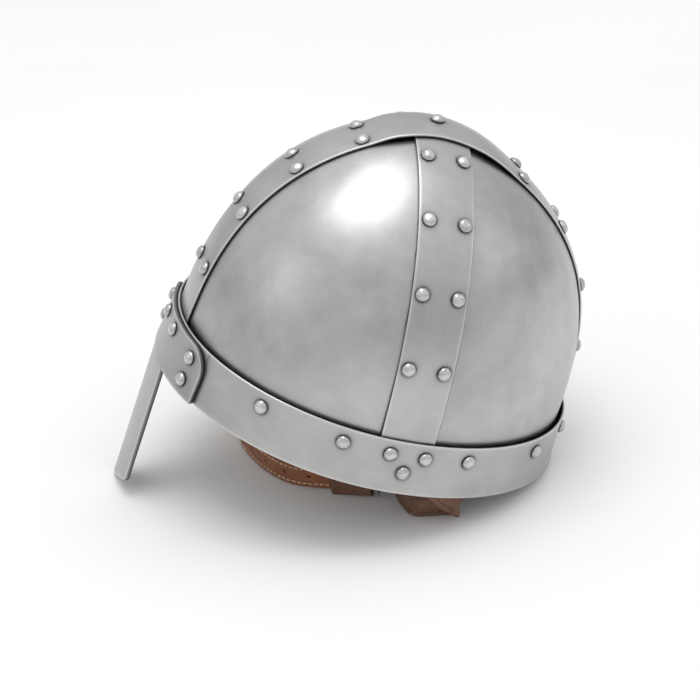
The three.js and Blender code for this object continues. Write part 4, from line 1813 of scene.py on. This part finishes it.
@dataclass
class ChinStrap:
    """The chin strap: a tan half with holes, a brown half, the loop that joins them and the buckle."""

    work: Steelwork
    width: float = 16.0
    leather: float = 2.6
    gap: float = 0.6
    seat: float = 1.0
    tail: float = 6.0
    hug: float = 8.0
    floor_gap: float = 0.5
    anchor_height: float = 12.8
    hole_radius: float = 1.3
    hole_pitch: float = 17.0
    hole_count: int = 5
    hole_first: float = 46.0
    keeper_length: float = 24.0
    keeper_leather: float = 2.0
    wire: float = 2.4
    buckle_slack: float = 0.5
    seam_inset: float = 2.9
    keeper_seam: float = 5.5
    seam_depth: float = 0.28
    stitch_pitch: float = 3.6
    stitch_length: float = 2.7
    stitch_radius: float = 0.36
    beside_steps: int = 5
    edge_round: float = 0.75
    columns: int = 44
    groove: float = 0.45
    step: float = 1.0
    tip: float = 4.0
    tip_least: float = 0.04
    tip_narrowing: float = 0.28
    rubbed: Trace = Trace(1.0, 0.7, 0.4)
    rim_rubbed: Trace = Trace(1.0, 0.7)
    seam_start: float = 4.0
    stitch_rows: int = 6
    stitch_around: int = 6
    stitch_least: float = 0.03
    stitch_sink: float = 0.75
    stitch_jitter: float = 0.12
    stitch_slant: float = 0.2
    seed: int = 7
    ring_around: int = 72
    ring_soft_high: float = 0.16
    ring_soft_deep: float = 0.3
    keeper_sections: int = 26
    wire_around: int = 12
    wire_least: float = 0.01
    tongue: TongueSizes = TongueSizes()
    hole_around: int = 20
    brown_thread: ThreadFinish = ThreadFinish("brown_thread", (0.16, 0.095, 0.06), (0.07, 0.04, 0.026))

    def wall_station(self, rest: Resting, side: int, heading: int, distance: float) -> Seat:
        """A place on the bowl's inner wall, past the anchor rivet, and the strap's upward way there.

        Args:
            rest: how the steel leans.
            side: 1 for the left, -1 for the right.
            heading: -1 where the strap slants to the front, 1 to the rear.
            distance: past the rivet.

        Returns:
            The place and the way, in the row frame.
        """
        bowl = self.work.bowl
        slant = distance * math.sqrt(0.5)
        angle = side * (bowl.angle_of_x(self.work.cross_foot) + heading * slant / bowl.half_width)
        on_bowl = bowl.point(np.array([angle]), np.array([self.anchor_height - slant]))
        inward = -(self.work.layers.plate + self.seat + self.leather / 2)
        place = rest.lean(bowl.off_level(on_bowl, np.array([inward])))[0]
        normal = unit(bowl.normal(on_bowl)[0] * LEVEL)
        way = unit(np.cross(normal, -side * heading * UP) * LEVEL + UP)
        return place, rest.turn @ way

    def stations(
        self, rest: Resting, side: int, heading: int, route: tuple[Station, ...]
    ) -> tuple[list[np.ndarray], list[np.ndarray]]:
        """The stations of a half, from its anchor along its route.

        Args:
            rest: how the steel leans.
            side: 1 for the left, -1 for the right.
            heading: -1 where the strap slants to the front, 1 to the rear.
            route: its stations past the bowl's wall.

        Returns:
            Places and upward ways, in the row frame.
        """
        pairs = [self.wall_station(rest, side, heading, d) for d in (-self.tail, 0.0, self.hug)]
        half = self.work.bowl.half_width
        for stop in route:
            place = np.array([stop.along * half, stop.out * half, self.floor_gap + stop.rise * self.width])
            pairs.append((place + rest.shift, unit(np.array([stop.lean_x, stop.lean_y, 1.0]))))
        return [place for place, _ in pairs], [up for _, up in pairs]

    def profile(self) -> np.ndarray:
        """The strap's section as (high, deep): rounded edges, and a shallow groove for each seam.

        Returns:
            Points once round. A groove is d exp(-(distance / groove)^2) deep.
        """
        half = self.leather / 2
        outline = rounded_profile(self.width, -half, half, self.edge_round, self.columns)
        to_seam = np.abs(outline[:, 0]) - self.seam
        groove = np.exp(-((to_seam / self.groove) ** 2)) * self.seam_depth
        outline[:, 1] -= np.sign(outline[:, 1]) * groove
        return outline

    @property
    def seam(self) -> float:
        """How far each seam is from the strap's middle line."""
        return self.width / 2 - self.seam_inset

    def strap(self, run: Run) -> Surface:
        """A half of the strap: its section carried along its run, narrowed at both ends by quarter rounds.

        Args:
            run: the half's run.

        Returns:
            The closed strap.
        """
        profile = self.profile()
        steps = int(run.length / self.step)
        distance = np.linspace(0.0, run.length, steps)
        to_end = np.clip(np.minimum(distance, run.length - distance) / self.tip, 0.0, 1.0)
        full = np.sqrt(np.clip(1.0 - (1.0 - to_end) ** 2, self.tip_least, 1.0))
        high = profile[:, 0] * (1.0 - self.tip_narrowing + self.tip_narrowing * full)[:, None]
        deep = profile[:, 1] * np.ones((steps, 1))
        spread = distance[:, None] * np.ones(len(profile))
        surface = swept(run.carried(spread, high, deep), hoop=False)
        to_edge = self.width / 2 - np.abs(profile[:, 0]) * np.ones((steps, 1))
        surface.wear = capped(self.rubbed.at(to_edge.ravel()), steps)
        return surface

    def capsule(self) -> tuple[np.ndarray, ...]:
        """A stitch's shape: a bar whose radius at a is r (1 - (2 a / length)^4)^(1/2) over the least one.

        Returns:
            Columns of places along it and of radii there, and the angles round it.
        """
        along = np.linspace(-0.5, 0.5, self.stitch_rows)[:, None] * self.stitch_length
        full = np.sqrt(np.clip(1.0 - (2 * along / self.stitch_length) ** 4, 0.0, 1.0))
        turn = np.linspace(0.0, 2 * math.pi, self.stitch_around, endpoint=False)
        return along, full * self.stitch_radius + self.stitch_least, turn

    def stitches(self, run: Run) -> Surface:
        """The two seams along a half, on both of its faces: one small capsule for each stitch.

        Args:
            run: the half that is sewn.

        Returns:
            The stitches as one surface.
        """
        count = int((run.length - 2 * self.seam_start) / self.stitch_pitch)
        middles = self.seam_start + (np.arange(count)[:, None, None] + 0.5) * self.stitch_pitch
        along, radius, turn = self.capsule()
        sit = self.leather / 2 - self.seam_depth + self.stitch_radius * self.stitch_sink
        rng = np.random.default_rng(self.seed)
        pieces = []
        for high in (-self.seam, self.seam):
            for face in (-1, 1):
                jitter = rng.uniform(-self.stitch_jitter, self.stitch_jitter, count)[:, None, None]
                slant = rng.uniform(-self.stitch_slant, self.stitch_slant, count)[:, None, None]
                where = middles + along + np.zeros(len(turn))
                rise = high + jitter + slant * along / self.stitch_length * 2 + radius * np.cos(turn)
                deep = face * sit + radius * np.sin(turn) + np.zeros((count, 1, 1))
                pieces += [swept(stitch, hoop=False) for stitch in run.carried(where, rise, deep)]
        return gathered(pieces)

    def seam_across(self, run: Run, where: float) -> Surface:
        """A seam up the outer face of the loop, one small capsule for each stitch.

        Args:
            run: the billet's run.
            where: the seam's place along it.

        Returns:
            The stitches as one surface.
        """
        count = int(self.width / self.stitch_pitch)
        middles = (np.arange(count) - (count - 1) / 2) * self.stitch_pitch
        along, radius, turn = self.capsule()
        face = self.leather / 2 + self.gap + self.keeper_leather
        distance = where + radius * np.cos(turn)
        deep = face + radius * np.sin(turn)
        highs = [middle + along + np.zeros(len(turn)) for middle in middles]
        return gathered([swept(run.carried(distance, high, deep), hoop=False) for high in highs])

    def ring(
        self, run: Run, middle: float, length: float, wall: float, slack: float, steps: int
    ) -> np.ndarray:
        """Points of a ring of sheet round both halves, following the run.

        Its section is a box with rounded corners: the cosine and the sine of a turn, each raised to a small
        power with its sign kept, times half the box's sides.

        Args:
            run: the billet's run.
            middle: where the ring's middle lies along it.
            length: along the run.
            wall: thickness.
            slack: between the ring and the straps.
            steps: sections along the run.

        Returns:
            Two grids of points, outer and inner, sections along the run by points round the ring.
        """
        high = self.width / 2 + slack
        front = self.leather / 2 + slack
        back = -(self.leather * 1.5 + self.gap + slack)
        centre, half = (front + back) / 2, (front - back) / 2
        turn = np.linspace(0.0, 2 * math.pi, self.ring_around, endpoint=False)
        up, out = np.cos(turn), np.sin(turn)
        up = np.sign(up) * np.abs(up) ** self.ring_soft_high
        out = np.sign(out) * np.abs(out) ** self.ring_soft_deep
        distance = middle + np.linspace(-0.5, 0.5, steps)[:, None] * length + np.zeros(len(turn))
        column = np.ones((steps, 1))
        grids = []
        for grow in (wall, 0.0):
            tall = (high + grow) * up * column
            deep = (centre + (half + grow) * out) * column
            grids.append(run.carried(distance, tall, deep))
        return np.stack(grids)

    def keeper(self, run: Run, middle: float) -> Surface:
        """The loop of leather round both halves, its two rims closed between its outer and inner faces.

        Args:
            run: the billet's run.
            middle: where the loop's middle lies along it.

        Returns:
            The closed loop.
        """
        wall, slack = self.keeper_leather, self.gap
        outer, inner = self.ring(run, middle, self.keeper_length, wall, slack, self.keeper_sections)
        section = np.concatenate([outer, inner[::-1]])
        surface = swept(np.swapaxes(section, 0, 1), hoop=True)
        ends = np.abs(np.linspace(-1.0, 1.0, len(outer)))
        rim = np.tile(ends, 2) * np.ones((outer.shape[1], 1))
        surface.wear = self.rim_rubbed.at((1.0 - rim.ravel()) * self.keeper_length / 2)
        return surface

    def buckle(self, run: Run, middle: float) -> Surface:
        """The buckle: a round wire once round the straps, with a tongue along their outer face.

        Args:
            run: the billet's run.
            middle: where the buckle lies along it.

        Returns:
            Wire and tongue.
        """
        tongue, wire = self.tongue, self.wire
        outer, inner = self.ring(run, middle, self.wire_least, wire, self.buckle_slack, 2)
        centre = (outer[0] + inner[0]) / 2
        radial = unit(outer[0] - inner[0])[:, None, :]
        _, forward, _, out = run.frames(np.array([middle]))
        turn = np.linspace(0.0, 2 * math.pi, self.wire_around, endpoint=False)[:, None]
        round_wire = (wire / 2) * (np.cos(turn) * radial + np.sin(turn) * forward[0])
        frame = swept(centre[:, None, :] + round_wire, hoop=True)
        count = tongue.sections
        along = middle + np.linspace(-wire * tongue.before, wire * tongue.after, count)
        lift = self.leather / 2 + self.buckle_slack + wire / 2
        base = run.carried(along, np.zeros(count), np.full(count, lift))[:, None, :]
        up = run.frames(along)[2][:, None, :]
        full = 1.0 - np.linspace(tongue.root, tongue.point, count) ** 6
        thick = tongue.radius * np.sqrt(np.clip(full, tongue.least, 1.0))[:, None, None]
        bar = base + thick * (np.cos(turn) * up + np.sin(turn) * out[0])
        return gathered([frame, swept(bar, hoop=False)])

    def build(self, rest: Resting, finishes: dict[Slot, bpy.types.Material]) -> None:
        """Shows the strap.

        Args:
            rest: how the steel leans.
            finishes: the materials, by slot.
        """
        billet = Run(*(np.array(rows) for rows in self.stations(rest, -1, -1, BILLET_ROUTE)))
        lap = self.keeper_length + self.tail * 2
        back = billet.length - lap * np.arange(1, self.beside_steps + 1) / self.beside_steps
        inward = np.full(len(back), -(self.leather + self.gap))
        beside = billet.carried(back, np.zeros(len(back)), inward)
        places, ups = self.stations(rest, 1, 1, BUCKLE_ROUTE)
        other = Run(np.array([*places, *beside]), np.array([*ups, *billet.frames(back)[2]]))
        LOG.info("strap halves: %.0f mm and %.0f mm", billet.length, other.length)

        tan, brown, thread = finishes[Slot.TAN], finishes[Slot.BROWN], finishes[Slot.THREAD]
        brown_thread = self.brown_thread.material()
        leather = show(self.strap(billet), "billet_strap_leather", tan, ("billet_strap",))
        self.punch(leather, billet)
        show(self.strap(other), "buckle_strap_leather", brown, ("buckle_strap",))
        show(self.stitches(billet), "billet_strap_stitches", thread, ())
        show(self.stitches(other), "buckle_strap_stitches", brown_thread, ())

        buckle_place = billet.length - self.tail
        keeper_place = buckle_place - self.keeper_length / 2 - self.wire
        loop = self.keeper(billet, keeper_place)
        show(loop, "strap_keeper_loop", brown, ("strap_keeper",))
        across = self.seam_across(billet, keeper_place - self.keeper_length / 2 + self.keeper_seam)
        show(across, "strap_keeper_stitches", brown_thread, ())
        buckle = self.buckle(billet, buckle_place)
        show(buckle, "strap_buckle_wire", finishes[Slot.BUCKLE], ("strap_buckle",))

    def punch(self, piece: bpy.types.Object, run: Run) -> None:
        """Cuts the buckle's holes through a half of the strap.

        Args:
            piece: the half.
            run: its run.
        """
        where = run.length - self.hole_first - self.hole_pitch * np.arange(self.hole_count)
        place, forward, up, out = run.frames(where)
        turn = np.linspace(0.0, 2 * math.pi, self.hole_around, endpoint=False)[:, None]
        depth = np.array([-2.0, 2.0])[:, None, None] * self.leather
        circle = self.hole_radius * np.stack([np.cos(turn), np.sin(turn)])
        rings = [
            middle + circle[0] * ahead + circle[1] * high + depth * outward
            for middle, ahead, high, outward in zip(place, forward, up, out)
        ]
        pins = gathered([swept(ring, hoop=False) for ring in rings])
        cutter = bpy.data.objects.new("pins", pins.mesh("pins"))
        bpy.context.scene.collection.objects.link(cutter)
        cut = piece.modifiers.new("holes", "BOOLEAN")
        cut.object = cutter
        cut.operation = "DIFFERENCE"
        cut.solver = "EXACT"
        scene_view = bpy.context.evaluated_depsgraph_get()
        cut_mesh = bpy.data.meshes.new_from_object(piece.evaluated_get(scene_view))
        piece.modifiers.remove(cut)
        piece.data = cut_mesh
        bpy.data.objects.remove(cutter)


@dataclass(frozen=True)
class Softbox:
    """A square studio light: its place and size in metres and its power in watts."""

    name: str
    place: tuple[float, float, float]
    size: float
    power: float


@dataclass
class Studio:
    """Floor, soft lights and the camera at the photograph's angle."""

    azimuth: float = -8.19
    elevation: float = 26.75
    roll: float = -2.69
    distance: float = 1.2
    aim: tuple[float, float, float] = (0.0049, 0.0189, 0.069)
    lens: float = 104.03
    sensor: float = 36.0
    shift: tuple[float, float] = (0.00185, -0.015)
    floor_size: float = 14.0
    horizon: float = 0.64
    zenith: float = 1.0
    zenith_from: float = 0.75
    boxes: tuple[Softbox, ...] = (
        Softbox("overhead_softbox", (-0.17, -0.1, 1.75), 1.0, 8.6),
        Softbox("left_softbox", (-1.7, -0.5, 1.1), 0.9, 1.2),
        Softbox("right_softbox", (1.7, -0.5, 0.9), 0.8, 0.9),
    )

    def build(self) -> None:
        """Makes the camera, the floor, the world and the lights."""
        self.camera()
        self.floor()
        self.sky()
        for box in self.boxes:
            self.light(box)
        bpy.context.scene.view_settings.view_transform = "Standard"

    def sky(self) -> None:
        """A pale tent of light round the scene, a little darker at the horizon than overhead."""
        world = bpy.data.worlds.new("studio")
        world.use_nodes = True
        nodes, links = world.node_tree.nodes, world.node_tree.links
        way = nodes.new("ShaderNodeTexCoord")
        height = nodes.new("ShaderNodeSeparateXYZ")
        links.new(way.outputs["Generated"], height.inputs[0])
        ramp = nodes.new("ShaderNodeMapRange")
        ends = {"From Max": self.zenith_from, "To Min": self.horizon, "To Max": self.zenith}
        for name, value in ends.items():
            ramp.inputs[name].default_value = value
        links.new(height.outputs["Z"], ramp.inputs["Value"])
        links.new(ramp.outputs["Result"], nodes["Background"].inputs["Strength"])
        nodes["Background"].inputs["Color"].default_value = grey(1.0)
        bpy.context.scene.world = world

    def camera(self) -> None:
        """The camera, turned round its aim and rolled about its own axis."""
        data = bpy.data.cameras.new("camera")
        data.lens = self.lens
        data.sensor_width = self.sensor
        data.shift_x, data.shift_y = self.shift
        camera = bpy.data.objects.new("camera", data)
        bpy.context.scene.collection.objects.link(camera)
        swing, rise = math.radians(self.azimuth), math.radians(self.elevation)
        level = math.cos(rise)
        back = Vector((math.sin(swing) * level, -math.cos(swing) * level, math.sin(rise)))
        right = Vector((math.cos(swing), math.sin(swing), 0.0))
        up = back.cross(right)
        roll = math.radians(self.roll)
        rolled_right = right * math.cos(roll) + up * math.sin(roll)
        rolled_up = up * math.cos(roll) - right * math.sin(roll)
        axes = Matrix((rolled_right, rolled_up, back)).transposed()
        camera.matrix_world = Matrix.Translation(Vector(self.aim) + back * self.distance) @ axes.to_4x4()
        bpy.context.scene.camera = camera

    def floor(self) -> None:
        """A plain square floor."""
        half = self.floor_size / 2
        mesh = bpy.data.meshes.new("floor")
        corners = [(-half, -half, 0.0), (half, -half, 0.0), (half, half, 0.0), (-half, half, 0.0)]
        mesh.from_pydata(corners, [], [(0, 1, 2, 3)])
        floor = bpy.data.objects.new("floor", mesh)
        bpy.context.scene.collection.objects.link(floor)
        mesh.materials.append(FloorFinish().material())

    def light(self, box: Softbox) -> None:
        """A softbox that looks at the helmet.

        Args:
            box: its place, size and power.
        """
        data = bpy.data.lights.new(box.name, "AREA")
        data.shape = "SQUARE"
        data.size = box.size
        data.energy = box.power
        lamp = bpy.data.objects.new(box.name, data)
        bpy.context.scene.collection.objects.link(lamp)
        way = Vector(self.aim) - Vector(box.place)
        lamp.location = box.place
        lamp.rotation_euler = way.to_track_quat("-Z", "Y").to_euler()


SATIN_PLATE = SteelFinish(
    "satin_plate", dark=0.4, light=0.53, roughness=0.33, mottle=0.13, brushing=0.35, hammering=0.05
)
SATIN_BAND = SteelFinish(
    "satin_band", dark=0.4, light=0.5, roughness=0.32, mottle=0.13, brushing=0.5, hammering=0.04
)
# A darker copy of the band steel for the nasal plate: painted shade.
SHADED_SATIN_NASAL = SteelFinish(
    "satin_nasal", dark=0.35, light=0.43, roughness=0.34, mottle=0.13, brushing=0.5, hammering=0.04
)
# Near-black steel for the nasal plate's cut edge: painted shade.
SHADED_CUT_EDGE = SteelFinish(
    "cut_edge", dark=0.02, light=0.05, roughness=0.5, mottle=0.13, brushing=0.3, hammering=0.1
)
HAMMERED_HEAD = SteelFinish(
    "hammered_head", dark=0.42, light=0.56, roughness=0.26, mottle=0.1, brushing=0.2, hammering=0.2
)
PLAIN_WIRE = SteelFinish(
    "plain_wire", dark=0.4, light=0.5, roughness=0.3, mottle=0.1, brushing=0.2, hammering=0.05
)
TAN_LEATHER = LeatherFinish("tan_leather", base=(0.34, 0.132, 0.058), deep=(0.18, 0.063, 0.027))
BROWN_LEATHER = LeatherFinish("brown_leather", base=(0.215, 0.104, 0.062), deep=(0.1, 0.048, 0.03))
WAXED_THREAD = ThreadFinish("waxed_thread", colour=(0.74, 0.6, 0.44), shade=(0.45, 0.3, 0.19))


def finishes() -> dict[Slot, bpy.types.Material]:
    """Makes the materials that stand for the record's slots.

    Returns:
        The materials, by slot.
    """
    choices = {
        Slot.PLATE: SATIN_PLATE,
        Slot.BAND: SATIN_BAND,
        Slot.RIVET: HAMMERED_HEAD,
        Slot.BUCKLE: PLAIN_WIRE,
        Slot.TAN: TAN_LEATHER,
        Slot.BROWN: BROWN_LEATHER,
        Slot.THREAD: WAXED_THREAD,
    }
    return {slot: finish.material() for slot, finish in choices.items()}


def main() -> None:
    """Builds the helmet in order."""
    logging.basicConfig(level=logging.INFO, format="%(name)s: %(message)s")
    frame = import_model()
    Studio().build()
    steel = finishes()
    work = Steelwork()
    bands = CrestAndCross(work)
    foot, normal = bands.crest_places()["rivet_crown"]
    rest = Resting.from_frame(frame["record"], foot + normal * work.rivets.height / 2)
    Plates(work).build(rest, steel[Slot.PLATE])
    bands.build(rest, steel[Slot.BAND], steel[Slot.RIVET])
    nasal = NasalPlate(work)
    BrowBand(work).build(rest, nasal, steel[Slot.BAND], steel[Slot.RIVET])
    nasal.build(rest, SHADED_SATIN_NASAL.material(), SHADED_CUT_EDGE.material(), steel[Slot.RIVET])
    ChinStrap(work).build(rest, steel)


if __name__ == "__main__":
    main()
